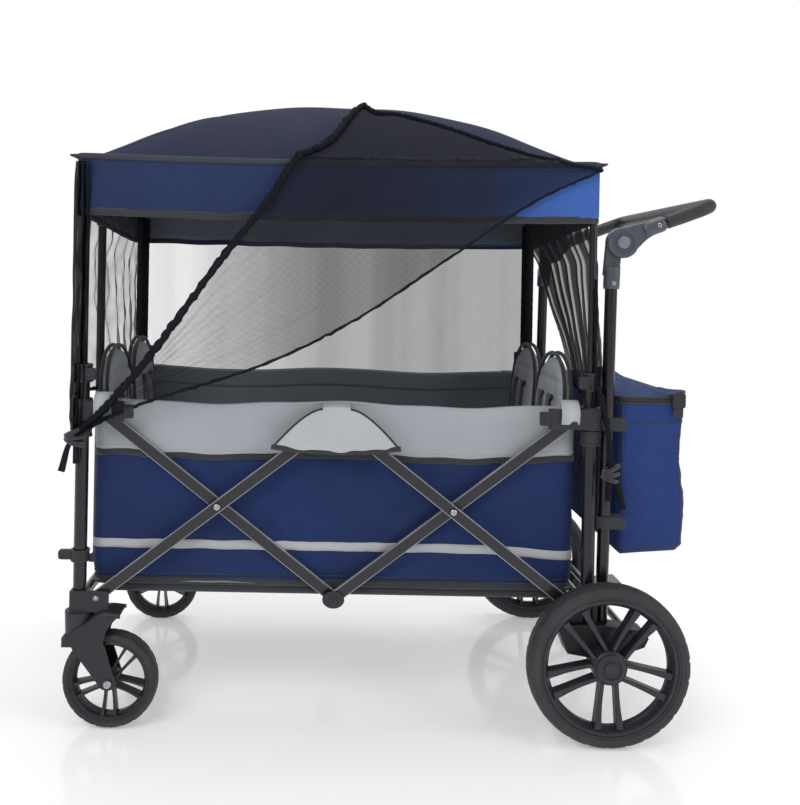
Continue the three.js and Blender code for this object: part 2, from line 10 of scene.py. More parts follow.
import bmesh
import bpy
import numpy as np
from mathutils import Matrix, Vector


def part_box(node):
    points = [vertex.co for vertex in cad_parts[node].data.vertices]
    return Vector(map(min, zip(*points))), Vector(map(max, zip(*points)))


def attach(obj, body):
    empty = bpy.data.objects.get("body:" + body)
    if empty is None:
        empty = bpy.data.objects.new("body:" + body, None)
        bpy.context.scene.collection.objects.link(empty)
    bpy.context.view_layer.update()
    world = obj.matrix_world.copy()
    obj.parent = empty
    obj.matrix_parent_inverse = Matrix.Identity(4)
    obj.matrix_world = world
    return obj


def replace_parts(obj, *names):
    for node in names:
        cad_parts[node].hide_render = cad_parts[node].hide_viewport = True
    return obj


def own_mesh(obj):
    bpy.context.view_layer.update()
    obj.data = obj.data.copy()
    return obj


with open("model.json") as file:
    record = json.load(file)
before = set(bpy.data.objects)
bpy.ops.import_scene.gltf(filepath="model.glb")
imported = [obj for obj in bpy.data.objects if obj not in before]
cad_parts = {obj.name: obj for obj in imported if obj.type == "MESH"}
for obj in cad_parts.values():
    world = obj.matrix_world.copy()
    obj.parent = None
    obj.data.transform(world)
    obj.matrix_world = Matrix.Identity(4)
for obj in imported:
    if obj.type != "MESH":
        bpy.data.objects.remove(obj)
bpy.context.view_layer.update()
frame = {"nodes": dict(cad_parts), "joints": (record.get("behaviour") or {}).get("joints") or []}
nodes = frame["nodes"]
TAU = 2 * math.pi
SIDES = (("left", -1.0), ("right", 1.0))


# Places read from the frame ------------------------------------------------------------------

def middle_of_posts():
    """How far along the row frame's X the middle of the four posts lies."""
    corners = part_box("rear_right_post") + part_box("front_right_post")
    return Vector((sum(corner[0] for corner in corners) / 4, 0, 0))


LAYOUT = middle_of_posts()


def box(node):
    """A CAD node's low and high corners, from the middle of the posts."""
    low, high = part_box(node)
    return Vector(low) - LAYOUT, Vector(high) - LAYOUT


def joint_place(name):
    """The position of a CAD hinge, from the middle of the posts."""
    return Vector(next(j["pos_m"] for j in frame["joints"] if j["name"] == name)) - LAYOUT


def centre_of(node):
    """The middle of a CAD node's box."""
    low, high = box(node)
    return (low + high) / 2


BASKET_LOW, BASKET_HIGH = box("basket")
CANOPY_LOW, CANOPY_HIGH = box("canopy")
BAG_LOW, BAG_HIGH = box("storage_bag")
LID_LOW, LID_HIGH = box("storage_bag_lid")
POST = centre_of("rear_right_post")
POST_TOP = box("rear_right_post")[1].z
FRONT_POST_X = centre_of("front_right_post").x
HANDLE_HINGE = joint_place("push_handle_tilt")
HANDLE_Y = centre_of("handle_tube_right").y
SLIDER_Z = joint_place("rear_slider_pivot").z
PIVOT_X = joint_place("fold").x
PIVOT_LOW_Z = joint_place("fold").z
ARM_HALF = 0.011           # half the height of a scissor arm
ARM_SLOPE = (SLIDER_Z - PIVOT_LOW_Z) / PIVOT_X


# Materials -----------------------------------------------------------------------------------

class Nodes:
    """Short names for building one material's node tree."""

    def __init__(self, name):
        self.material = bpy.data.materials.new(name)
        self.material.use_nodes = True
        self.tree = self.material.node_tree
        self.tree.nodes.clear()
        self.out = self.add("ShaderNodeOutputMaterial")

    def put(self, socket, value):
        """Fills a socket with a number, a colour or another node's output."""
        if isinstance(value, bpy.types.NodeSocket):
            self.tree.links.new(value, socket)
        else:
            socket.default_value = (*value, 1) if isinstance(value, tuple) else value

    def add(self, kind, inputs=None, **settings):
        """A new node; inputs maps its sockets, by name or place, to what fills them."""
        node = self.tree.nodes.new(kind)
        for key, value in settings.items():
            setattr(node, key, value)
        for key, value in (inputs or {}).items():
            self.put(node.inputs[key], value)
        return node

    def math(self, operation, a, b=None):
        inputs = {0: a} if b is None else {0: a, 1: b}
        return self.add("ShaderNodeMath", inputs, operation=operation).outputs[0]

    def plus(self, a, b):
        return self.math("ADD", a, b)

    def times(self, a, b):
        return self.math("MULTIPLY", a, b)

    def coordinates(self):
        return self.add("ShaderNodeTexCoord").outputs["Object"]

    def axes(self):
        """The object's X, Y and Z, as three outputs."""
        return self.add("ShaderNodeSeparateXYZ", {0: self.coordinates()}).outputs

    def noise(self, scale, detail=2.0, rough=0.5):
        inputs = {"Scale": scale, "Detail": detail, "Roughness": rough, "Vector": self.coordinates()}
        return self.add("ShaderNodeTexNoise", inputs).outputs["Fac"]

    def ramp(self, source, low, high, low_value=0.0, high_value=1.0):
        inputs = {"Value": source, "From Min": low, "From Max": high, "To Min": low_value,
                  "To Max": high_value}
        return self.add("ShaderNodeMapRange", inputs).outputs["Result"]

    def mix_color(self, factor, a, b):
        inputs = {"Factor": factor, "A": a, "B": b}
        return self.add("ShaderNodeMix", inputs, data_type="RGBA").outputs["Result"]

    def mix_shader(self, factor, a, b):
        return self.add("ShaderNodeMixShader", {0: factor, 1: a, 2: b}).outputs[0]

    def bump(self, height, strength, distance):
        inputs = {"Strength": strength, "Distance": distance, "Height": height}
        return self.add("ShaderNodeBump", inputs).outputs["Normal"]

    def principled(self, inputs):
        return self.add("ShaderNodeBsdfPrincipled", inputs).outputs[0]

    def finish(self, shader):
        """Puts the shader on the surface and returns the material."""
        self.put(self.out.inputs["Surface"], shader)
        return self.material

    def arm_highlight_edges(self, start_z, slope):
        """1 along both long edges of the scissor arms that leave the middle at start_z, where a
        highlight is painted.
        """
        x, _, z = self.axes()
        along = self.math("ABSOLUTE", self.plus(x, -LAYOUT.x))
        middle = self.plus(self.times(along, slope), start_z)
        away = self.math("ABSOLUTE", self.math("SUBTRACT", z, middle))
        across = self.times(away, 1 / math.hypot(1, slope))
        return self.ramp(across, ARM_HALF - 0.0020, ARM_HALF - 0.0011)

    def weave(self, pitch):
        """Warp and weft threads as products of sine waves along the three axes."""
        x, y, z = [self.math("SINE", self.times(axis, TAU / pitch)) for axis in self.axes()]
        return self.plus(self.plus(self.times(x, z), self.times(y, z)), self.times(x, y))


def shade(value, factor):
    """A colour made lighter or darker, kept at or under 1."""
    return tuple(min(1.0, c * factor) for c in value)


def srgb(red, green, blue):
    """A display colour, 0 to 255, as linear light."""
    channels = (c / 255 for c in (red, green, blue))
    return tuple(c / 12.92 if c <= 0.04045 else ((c + 0.055) / 1.055) ** 2.4 for c in channels)


def fabric(name, color, pitch=0.0022, rough=0.75, sheen=0.06, mottle=0.22, lit_rear_color=None):
    """Woven polyester: threads, slow fading and a soft sheen; towards the rear it may turn to a lighter
    colour, as painted light.
    """
    n = Nodes(name)
    weave = n.weave(pitch)
    fade = n.noise(7.0, 3.0)
    fibre = n.noise(900.0, 2.0)
    tone = n.plus(n.times(fade, 0.75), n.times(fibre, 0.25))
    thread = n.ramp(n.plus(tone, n.times(weave, 0.07)), 0.28, 0.72)
    base = n.mix_color(thread, shade(color, 1 - mottle), shade(color, 1 + mottle))
    # Painted light: the colour turns to a lighter one towards the rear, where stronger light falls.
    if lit_rear_color:
        rear_shading = n.ramp(n.axes()["X"], LAYOUT.x + 0.05, LAYOUT.x + 0.45)
        base = n.mix_color(rear_shading, base, lit_rear_color)
    creases = n.times(n.noise(16.0, 2.0), 9.0)
    height = n.plus(n.plus(n.times(weave, 0.35), n.times(fibre, 0.6)), creases)
    return n.finish(n.principled({
        "Base Color": base, "Specular IOR Level": 0.22,
        "Roughness": n.ramp(fade, 0.3, 0.7, rough - 0.06, rough + 0.08),
        "Normal": n.bump(height, 0.35, 0.0006), "Sheen Weight": sheen, "Sheen Roughness": 0.45,
    }))


def webbing(name, color):
    """Ribbed narrow webbing."""
    n = Nodes(name)
    rib = n.weave(0.0034)
    fuzz = n.noise(600.0, 2.0)
    return n.finish(n.principled({
        "Base Color": n.mix_color(n.ramp(fuzz, 0.3, 0.7), shade(color, 0.75), shade(color, 1.5)),
        "Normal": n.bump(n.plus(rib, fuzz), 0.5, 0.0007), "Roughness": 0.8, "Sheen Weight": 0.3,
    }))


def hard(name, color, rough, metal=0.0, wear=1.5, coat=0.0, line=None):
    """Painted metal or moulded plastic: fine grain, patchy gloss and lighter worn edges.

    `line` gives the start height and slope of an arm, along whose long edges a highlight is painted."""
    n = Nodes(name)
    fine = n.noise(260.0, 3.0, 0.6)
    cloud = n.noise(14.0, 4.0)
    edge = n.ramp(n.add("ShaderNodeNewGeometry").outputs["Pointiness"], 0.52, 0.62)
    scuff = n.times(edge, n.ramp(n.noise(60.0, 3.0), 0.35, 0.65))
    tone = n.plus(n.times(n.ramp(cloud, 0.3, 0.7), 0.25), scuff)
    base = n.mix_color(tone, color, shade(color, wear))
    # Painted highlight: a light line along each long edge of an arm.
    if line:
        glint = n.times(n.arm_highlight_edges(*line), n.ramp(cloud, 0.3, 0.7, 0.6, 1.0))
        base = n.mix_color(glint, base, PAINTED_EDGE_HIGHLIGHT)
    return n.finish(n.principled({
        "Base Color": base, "Roughness": n.ramp(cloud, 0.3, 0.7, rough - 0.05, rough + 0.07),
        "Normal": n.bump(fine, 0.5, 0.00012), "Metallic": metal, "Specular IOR Level": 0.36,
        "Coat Weight": coat, "Coat Roughness": 0.2,
    }))


def grained(name, color, rough, cell):
    """Foam or rubber skin with a leather-like grain."""
    n = Nodes(name)
    cells = n.add("ShaderNodeTexVoronoi", {"Scale": 1 / cell, "Vector": n.coordinates()},
                  feature="DISTANCE_TO_EDGE")
    cloud = n.ramp(n.noise(20.0, 3.0), 0.3, 0.7)
    height = n.plus(n.ramp(cells.outputs["Distance"], 0.0, 0.2), n.noise(400.0))
    return n.finish(n.principled({
        "Base Color": n.mix_color(cloud, shade(color, 0.8), shade(color, 1.35)),
        "Normal": n.bump(height, 0.35, 0.0005), "Roughness": rough,
    }))


def mesh_net(name, color, cover, rear_shading=0.0, moire=0.0):
    """Fine see-through mesh, denser where it turns from the eye; two layers beat together."""
    n = Nodes(name)
    x, _, z = n.axes()
    facing = n.add("ShaderNodeLayerWeight", {"Blend": 0.30}).outputs["Facing"]
    dense = n.plus(n.times(facing, 0.75), cover)
    dense = n.plus(dense, n.times(n.weave(0.0016), 0.03))
    # Painted shade: the net is made denser, so darker, towards the rear, with painted soft upright
    # shadows in it.
    painted_rear_shade = n.ramp(x, LAYOUT.x - 0.38, LAYOUT.x - 0.02, -rear_shading, rear_shading * 0.5)
    painted_streak_shade = n.add("ShaderNodeTexNoise", noise_dimensions="1D")
    n.put(painted_streak_shade.inputs["Scale"], 9.0)
    n.put(painted_streak_shade.inputs["W"], x)
    dense = n.plus(n.plus(dense, painted_rear_shade), n.ramp(painted_streak_shade.outputs["Fac"], 0.35, 0.7, -0.03, 0.07))
    if moire:
        across = n.plus(n.times(x, 330.0), n.times(n.noise(4.0, 1.5), 60.0))
        down = n.plus(n.times(z, 470.0), n.times(n.noise(2.5, 1.0), 90.0))
        beat = n.times(n.math("SINE", across), n.math("SINE", down))
        dense = n.plus(dense, n.times(beat, moire))
    dense = n.math("MINIMUM", n.math("MAXIMUM", dense, 0.05), 0.97)
    cloth = n.principled({"Base Color": color, "Roughness": 0.9, "Specular IOR Level": 0.05})
    clear = n.add("ShaderNodeBsdfTransparent").outputs[0]
    return n.finish(n.mix_shader(dense, clear, cloth))


# The colour of the painted highlight along the arms' long edges.
PAINTED_EDGE_HIGHLIGHT = srgb(150, 152, 158)

MATS = {
    "black_frame": hard("black_frame", srgb(19, 19, 23), 0.3, 0.35, coat=0.45, wear=2.4),
    "black_plastic": hard("black_plastic", srgb(40, 40, 45), 0.45, wear=1.9),
    "grey_plastic": hard("grey_plastic", srgb(70, 73, 82), 0.36, coat=0.2),
    "cap_plastic": hard("cap_plastic", srgb(104, 108, 118), 0.34, coat=0.2),
    "arm_falling": hard("arm_falling", srgb(29, 29, 33), 0.3, coat=0.3, line=(SLIDER_Z, -ARM_SLOPE)),
    "arm_rising": hard("arm_rising", srgb(29, 29, 33), 0.3, coat=0.3, line=(PIVOT_LOW_Z, ARM_SLOPE)),
    "tyre": grained("tyre", srgb(44, 44, 48), 0.6, 0.0022),
    "grip": grained("grip", srgb(36, 36, 40), 0.4, 0.0016),
    "blue_fabric": fabric("blue_fabric", srgb(28, 45, 90)),
    "bag_fabric": fabric("bag_fabric", srgb(37, 60, 116)),
    # The canopy cloth's lighter rear colour is painted light.
    "canopy_fabric": fabric("canopy_fabric", srgb(36, 49, 86), lit_rear_color=srgb(62, 98, 172)),
    "canopy_roof": fabric("canopy_roof", srgb(23, 31, 58), sheen=0.0),
    "dark_lining": fabric("dark_lining", srgb(106, 110, 122), sheen=0.02),
    "edging": fabric("edging", srgb(60, 63, 74), 0.0018, sheen=0.02),
    "flap_fabric": fabric("flap_fabric", srgb(178, 182, 186), mottle=0.07),
    "grey_fabric": fabric("grey_fabric", srgb(178, 182, 190), mottle=0.12),
    "lining_fabric": fabric("lining_fabric", srgb(124, 130, 137), mottle=0.1),
    "light_fabric": fabric("light_fabric", srgb(163, 168, 174), mottle=0.07),
    "dark_fabric": webbing("dark_fabric", srgb(38, 40, 45)),
    "reflective": fabric("reflective", srgb(178, 179, 182), 0.0015, 0.45, 0.0, 0.08),
    "net": mesh_net("net", srgb(58, 56, 59), 0.47, 0.27),
    "net_near": mesh_net("net_near", srgb(42, 43, 50), 0.40, 0.20, moire=0.03),
    "net_gather": mesh_net("net_gather", srgb(30, 31, 37), 0.90),
    "steel": hard("steel", srgb(176, 176, 180), 0.3, 1.0, wear=1.1),
}


# Mesh building -------------------------------------------------------------------------------

def piece(name, verts, faces, mat, body, smooth=40):
    """A named mesh on a CAD body. Edges sharper than `smooth` degrees stay sharp."""
    mesh = bpy.data.meshes.new(name)
    mesh.from_pydata([(x + LAYOUT.x, y, z) for x, y, z in verts], [], [tuple(f) for f in faces])
    mesh.validate()
    obj = bpy.data.objects.new(name, mesh)
    bpy.context.scene.collection.objects.link(obj)
    mesh.materials.append(MATS[mat])
    bm = bmesh.new()
    bm.from_mesh(mesh)
    bmesh.ops.remove_doubles(bm, verts=bm.verts, dist=1e-6)
    bmesh.ops.recalc_face_normals(bm, faces=bm.faces)
    bm.to_mesh(mesh)
    bm.free()
    shade_by_angle(mesh, smooth)
    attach(obj, body)
    return obj


def shade_by_angle(mesh, degrees):
    """Smooth faces, with the edges sharper than the limit kept sharp."""
    limit = math.radians(degrees)
    bm = bmesh.new()
    bm.from_mesh(mesh)
    for face in bm.faces:
        face.smooth = True
    for edge in bm.edges:
        if len(edge.link_faces) == 2:
            edge.smooth = edge.calc_face_angle(0) < limit
    bm.to_mesh(mesh)
    bm.free()


def bands(rings, sides, closed=False):
    """Faces that join rings of points in turn; the ends are capped, or joined to each other."""
    faces = []
    for i in range(rings if closed else rings - 1):
        a, b = i * sides, ((i + 1) % rings) * sides
        for k in range(sides):
            m = (k + 1) % sides
            faces.append((a + k, a + m, b + m, b + k))
    if not closed:
        faces.append(tuple(range(sides)))
        faces.append(tuple(range((rings - 1) * sides, rings * sides)))
    return faces


def circle(count, radius_a, radius_b, centre=(0.0, 0.0)):
    """Points round an ellipse."""
    turns = (TAU * k / count for k in range(count))
    return [(centre[0] + radius_a * math.cos(a), centre[1] + radius_b * math.sin(a)) for a in turns]


def modifier(obj, kind, **values):
    """A new modifier with its settings."""
    made = obj.modifiers.new(kind.lower(), kind)
    for key, value in values.items():
        setattr(made, key, value)
    return made


def sheet(name, fn, nu, nv, mat, body, thick=0.0015, wrap=False, smooth=60):
    """A cloth sheet from fn(u, v) over 0..1, made solid; wrap joins its u ends."""
    us = np.linspace(0, 1, nu, endpoint=not wrap)
    vs = np.linspace(0, 1, nv)
    verts = [fn(u, v) for u in us for v in vs]
    columns = nu if wrap else nu - 1
    faces = []
    for i in range(columns):
        a, b = i * nv, ((i + 1) % nu) * nv
        for j in range(nv - 1):
            faces.append((a + j, b + j, b + j + 1, a + j + 1))
    obj = piece(name, verts, faces, mat, body, smooth)
    if thick:
        modifier(obj, "SOLIDIFY", thickness=thick, offset=0.0)
    return obj


def tube(name, points, radius, mat, body, sides=12, closed=False, squash_to=(1.0, 1.0)):
    """A round bar through the points; radius is a number or a function of 0..1 along it."""
    pts = [Vector(p) for p in points]
    count = len(pts)
    size = radius if callable(radius) else (lambda share: radius)
    verts = []
    normal = None
    for i, p in enumerate(pts):
        ahead = pts[(i + 1) % count] if closed or i + 1 < count else p
        behind = pts[i - 1] if closed or i > 0 else p
        tangent = (ahead - behind).normalized()
        if normal is None:
            helper = Vector((0, 0, 1)) if abs(tangent.z) < 0.9 else Vector((1, 0, 0))
            normal = tangent.cross(helper).normalized()
        normal = (normal - tangent * normal.dot(tangent)).normalized()
        side = tangent.cross(normal)
        r = size(i / max(1, count - 1))
        for k in range(sides):
            a = TAU * k / sides
            across, aside = math.cos(a) * r * squash_to[0], math.sin(a) * r * squash_to[1]
            verts.append(p + normal * across + side * aside)
    return piece(name, verts, bands(count, sides, closed), mat, body, 50)


def lathe(name, profile, centre, mat, body, steps=64, axis="y", smooth=35, ripple=None):
    """A closed [radius, along] profile turned about an axis through centre."""
    verts = []
    for i in range(steps):
        a = TAU * i / steps
        for r, t in profile:
            if ripple:
                r += ripple(a, r, t)
            c, s = math.cos(a) * r, math.sin(a) * r
            local = {"y": (c, t, s), "z": (c, s, t)}[axis]
            verts.append(Vector(centre) + Vector(local))
    return piece(name, verts, bands(steps, len(profile), closed=True), mat, body, smooth)


def plate(name, outline, levels, mat, body, bevel, plane="xz"):
    """An outline in the XZ (or YZ) plane, made thick between two levels, with softened edges."""
    place = {"xz": lambda a, b, c: (a, c, b), "yz": lambda a, b, c: (c, a, b)}[plane]
    verts = [place(a, b, c) for c in sorted(levels) for a, b in outline]
    obj = piece(name, verts, bands(2, len(outline)), mat, body, 35)
    modifier(obj, "BEVEL", width=bevel, segments=2, limit_method="ANGLE")
    return obj


def spline(points, share):
    """A smooth curve through the points (Catmull-Rom), at 0..1 along it."""
    pts = [np.array(p, float) for p in points]
    last = len(pts) - 1
    place = min(max(share, 0.0), 1.0) * last
    i = min(int(place), last - 1)
    t = place - i
    a = pts[max(i - 1, 0)]
    b, c = pts[i], pts[i + 1]
    d = pts[min(i + 2, last)]
    return 0.5 * (2 * b + (c - a) * t + (2 * a - 5 * b + 4 * c - d) * t * t
                  + (3 * b - a - 3 * c + d) * t ** 3)


def ease(low, high, value):
    """0 at low and 1 at high, with a smooth start and end."""
    t = min(max((value - low) / (high - low), 0.0), 1.0)
    return t * t * (3 - 2 * t)


def rounded(x0, x1, z0, z1, r, steps=5):
    """A rectangle outline with round corners."""
    points = []
    corners = ((x1 - r, z1 - r), (x0 + r, z1 - r), (x0 + r, z0 + r), (x1 - r, z0 + r))
    for quarter, (cx, cz) in enumerate(corners):
        for k in range(steps + 1):
            a = (quarter + k / steps) * math.pi / 2
            points.append((cx + r * math.cos(a), cz + r * math.sin(a)))
    return points


def ripples(seed, count=7, low=1.0, high=5.0):
    """A smooth random function of two numbers, the same each run."""
    rng = np.random.default_rng(seed)
    terms = []
    for _ in range(count):
        along = rng.uniform(low, high) * rng.choice((-1, 1))
        terms.append((along, rng.uniform(low, high), rng.uniform(0, TAU), rng.uniform(0.4, 1.0)))
    total = sum(t[3] for t in terms)

    def value(a, b):
        return sum(w * math.sin(TAU * (fa * a + fb * b) + p) for fa, fb, p, w in terms) / total

    return value


def with_fold(obj):
    """Gives the cloth its own copy of its mesh."""
    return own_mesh(obj)


def fold_sheet(name, fn, nu, nv, mat, thick=0.0015, wrap=False):
    """A sheet that rides at the rear, with its own copy of its mesh."""
    return with_fold(sheet(name, fn, nu, nv, mat, "rear_frame", thick, wrap))


def fold_tube(name, points, radius, mat, sides=8, closed=False, squash_to=(1.0, 1.0)):
    """A tube that rides at the rear, with its own copy of its mesh."""
    return with_fold(tube(name, points, radius, mat, "rear_frame", sides, closed, squash_to))


# CAD nodes that stay -------------------------------------------------------------------------

def dress(node, mat, bevel=0.0008, segments=2):
    """A CAD node keeps its shape: joined faces, softened edges, smooth rounds and a finish."""
    obj = nodes[node]
    for place in obj.material_slots:
        place.material = MATS[mat]
    if obj.data.attributes.get("custom_normal"):
        obj.data.attributes.remove(obj.data.attributes["custom_normal"])
    obj.data.polygons.foreach_set("use_smooth", [True] * len(obj.data.polygons))
    modifier(obj, "WELD", merge_threshold=0.00002)
    modifier(obj, "BEVEL", width=bevel, segments=segments, limit_method="ANGLE",
             angle_limit=math.radians(34), use_clamp_overlap=True)
    modifier(obj, "WEIGHTED_NORMAL", keep_sharp=True)


FRAME_NODES = ["rear_axle", "front_crossbar", "rear_crossbar", "pull_handle_shaft", "brake_pedal"]
BLOCK_NODES = []
for side, _ in SIDES:
    FRAME_NODES += [f"{end}_{side}_{part}" for end in ("front", "rear") for part in ("post", "pole")]
    FRAME_NODES.append(f"handle_tube_{side}")
    BLOCK_NODES += [f"front_bracket_{side}", f"rear_bracket_{side}", f"front_slider_{side}",
                    f"rear_slider_{side}"]

for node in FRAME_NODES:
    dress(node, "black_frame")
for side, _ in SIDES:
    for end in ("front", "rear"):
        dress(f"{end}_outer_arm_{side}", "arm_falling")
        dress(f"{end}_inner_arm_{side}", "arm_rising")
for node in BLOCK_NODES:
    dress(node, "black_plastic", 0.0014)
for side, _ in SIDES:
    dress(f"handle_hinge_{side}", "grey_plastic", 0.0012)
    dress(f"caster_fork_{side}", "black_plastic", 0.0018, 3)
dress("pull_handle_grip", "grip")


# Wheels --------------------------------------------------------------------------------------

SPOKE_PAIRS = 5


def tyre(name, centre, radius, inner, width, body, grooves):
    """A rubber tyre with a rounded crown, side ribs and slanted shoulder grooves."""
    half = width / 2
    crown = radius - inner
    profile = [
        (inner, -half * 0.62), (inner + crown * 0.10, -half * 0.84),
        (inner + crown * 0.24, -half * 0.86),
        (inner + crown * 0.27, -half * 0.93), (inner + crown * 0.45, -half * 0.985),
        (inner + crown * 0.60, -half), (inner + crown * 0.72, -half * 0.96),
        (inner + crown * 0.84, -half * 0.84), (radius - crown * 0.06, -half * 0.62),
        (radius - crown * 0.015, -half * 0.40), (radius - crown * 0.10, -half * 0.36),
        (radius - crown * 0.10, -half * 0.30), (radius, -half * 0.26), (radius, 0.0),
    ]
    profile += [(r, -t) for r, t in reversed(profile[:-1])]

    def groove(angle, r, along):
        share = abs(along) / half
        if r < inner + crown * 0.68 or share < 0.36:
            return 0.0
        wave = math.sin(grooves * angle + 1.6 * share * math.copysign(1, along))
        return -crown * 0.055 * max(0.0, min(1.0, (wave - 0.80) * 9))

    lathe(name, profile, centre, "tyre", body, steps=grooves * 16, smooth=48, ripple=groove)
    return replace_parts(bpy.data.objects[name], name.replace("_soft", ""))


def rim(name, centre, seat, hub_r, hub_width, width, body, out):
    """The wheel's moulded rim: bead ring with a deep inner cone, five double spokes and a hub."""
    half = width / 2
    bead = seat - 0.0003
    lip = seat * 0.955
    inner = seat * 0.895
    ring = [(bead, 0.0)]
    for way in (-1, 1):
        edge = [(bead, half * 0.60), (bead + 0.0024, half * 0.80), (bead - 0.0004, half * 0.90),
                (lip + 0.0012, half * 0.90), (lip, half * 0.84), (lip - 0.0016, half * 0.70),
                (inner + 0.0030, half * 0.34), (inner, half * 0.20)]
        ordered = edge if way < 0 else edge[::-1]
        ring += [(r, way * t) for r, t in ordered]
    main = lathe(name, ring, centre, "black_plastic", body, steps=96)
    reach = hub_width / 2
    hub = [(0.004, -reach), (hub_r * 0.9, -reach), (hub_r, -reach + 0.003), (hub_r, reach - 0.003),
           (hub_r * 0.9, reach), (0.004, reach)]
    lathe(name + "_hub", hub, centre, "black_plastic", body, steps=48)
    # The cap on the outer face has two raised rings.
    cap_face = out * (reach + 0.0045)
    cap = [(0.0005, out * (reach - 0.001)), (hub_r * 0.84, out * (reach - 0.001)),
           (hub_r * 0.84, out * (reach + 0.0028)), (hub_r * 0.76, cap_face),
           (hub_r * 0.60, cap_face), (hub_r * 0.57, cap_face - out * 0.0018),
           (hub_r * 0.42, cap_face - out * 0.0018), (hub_r * 0.39, cap_face),
           (0.0005, cap_face)]
    lathe(name + "_cap", cap, centre, "black_plastic", body, steps=48)
    for pair in range(SPOKE_PAIRS):
        turn = -math.pi / 2 + pair * TAU / SPOKE_PAIRS
        for way in (-1, 1):
            spoke(f"{name}_spoke_{pair}_{'ab'[(way + 1) // 2]}", centre, turn, way, hub_r, inner,
                  half, body, out)
    return main


def spoke(name, centre, turn, way, hub_r, inner, half, body, out):
    """A tapering T-section spoke, one of a pair that spreads towards the rim."""
    start, end = hub_r * 0.94, inner + 0.002
    stations = 7
    verts = []
    c, sn = math.cos(turn), math.sin(turn)
    for i in range(stations):
        s = i / (stations - 1)
        r = start + (end - start) * s
        aside = way * (hub_r * 0.42 + (inner * 0.185 - hub_r * 0.42) * s)
        flange = (0.0034 + 0.0020 * s + 0.0012 * s ** 4) * hub_r / 0.031
        web = flange * 0.5
        front = out * half * (0.74 - 0.36 * math.sin(math.pi * min(1.0, s * 1.1)) * 0.5)
        step = front - out * 0.0045
        back = -out * half * 0.62
        section = [(-flange, front - out * 0.0012), (-flange * 0.8, front), (flange * 0.8, front),
                   (flange, front - out * 0.0012), (flange, step), (web, step), (web, back),
                   (-web, back), (-web, step), (-flange, step)]
        for across, depth in section:
            beside = aside + across
            verts.append(Vector(centre) + Vector((r * c - beside * sn, depth, r * sn + beside * c)))
    piece(name, verts, bands(stations, len(section)), "black_plastic", body, 30)


def fork_hoods():
    """The moulded hood that arches over each caster between the fork's cheeks."""
    rise = [(-0.0770, 0.0850), (-0.0620, 0.0975), (-0.0420, 0.1085), (-0.0240, 0.1225),
            (-0.0060, 0.1292), (0.0215, 0.1298)]
    half = 0.0294
    for side, _ in SIDES:
        centre = centre_of(f"front_{side}_tyre")

        def skin(u, v):
            x, z = spline(rise, u)
            across = 2 * v - 1
            arch = 0.0050 * (1 - across ** 2) * ease(1.0, 0.75, u) * ease(0.0, 0.2, u)
            edge_drop = 0.0075 * abs(across) ** 6
            y = centre.y + half * math.sin(across * math.pi / 2)
            return centre.x + x, y, centre.z + z + arch - edge_drop
        hood = sheet(f"caster_hood_{side}", skin, 40, 24, "black_plastic", f"caster_{side}", 0.0032)
        modifier(hood, "BEVEL", width=0.0008, segments=2, limit_method="ANGLE")


def wheels():
    """Each wheel's soft tyre and fine rim, sized from its CAD nodes."""
    for side, sign in SIDES:
        for end, grooves, hub_r in (("rear", 26, 0.031), ("front", 22, 0.0165)):
            low, high = box(f"{end}_{side}_tyre")
            rim_low, rim_high = box(f"{end}_{side}_rim")
            centre = (low + high) / 2
            radius = (high.z - low.z) / 2
            width = high.y - low.y
            seat = (rim_high.z - rim_low.z) / 2
            body = f"{end}_wheel_{side}"
            cover = tyre(f"{end}_{side}_tyre_soft", centre, radius, seat, width, body, grooves)
            hub_width = rim_high.y - rim_low.y
            made = rim(f"{end}_{side}_rim_fine", centre, seat, hub_r, hub_width, width, body, sign)
            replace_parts(made, f"{end}_{side}_rim")


wheels()
fork_hoods()


# Curves and rings ----------------------------------------------------------------------------

class Ring:
    """A rounded rectangle in plan; at(u) gives a point and its outward direction."""

    def __init__(self, x0, x1, y0, y1, r):
        self.corners = ((x1 - r, y1 - r), (x0 + r, y1 - r), (x0 + r, y0 + r), (x1 - r, y0 + r))
        self.r = r
        self.arc = r * math.pi / 2
        runs = [math.dist(self.corners[i], self.corners[(i + 1) % 4]) for i in range(4)]
        self.runs = runs
        self.length = sum(runs) + 4 * self.arc

    def at(self, u):
        d = (u % 1.0) * self.length
        for i, (cx, cy) in enumerate(self.corners):
            if d < self.arc:
                a = i * math.pi / 2 + d / self.r
                return cx + self.r * math.cos(a), cy + self.r * math.sin(a), math.cos(a), math.sin(a)
            d -= self.arc
            if d < self.runs[i]:
                a = (i + 1) * math.pi / 2
                s = d / self.runs[i]
                nx, ny = self.corners[(i + 1) % 4]
                px, py = cx + (nx - cx) * s, cy + (ny - cy) * s
                return px + self.r * math.cos(a), py + self.r * math.sin(a), math.cos(a), math.sin(a)
            d -= self.runs[i]
        return self.at(0.0)

    def path(self, z, count=220, out=0.0):
        """Points round the ring at height z(x, y), moved outwards."""
        points = []
        for k in range(count):
            x, y, nx, ny = self.at(k / count)
            points.append((x + nx * out, y + ny * out, z(x, y)))
        return points


# Basket --------------------------------------------------------------------------------------

BASKET_WALL_Z = BASKET_HIGH.z + 0.002
BASKET_LENGTH = BASKET_HIGH.x - BASKET_LOW.x
BASKET_MID_X = (BASKET_HIGH.x + BASKET_LOW.x) / 2
BAND_Z = 0.510
STRIPE_Z = 0.339
STRIPE_HALF = 0.0085
WALL_COLUMNS = 420
wall_wave = ripples(11, 9, 1.0, 4.0)
fine_wave = ripples(12, 9, 4.0, 11.0)
rim_wave = ripples(13, 5, 1.0, 3.0)


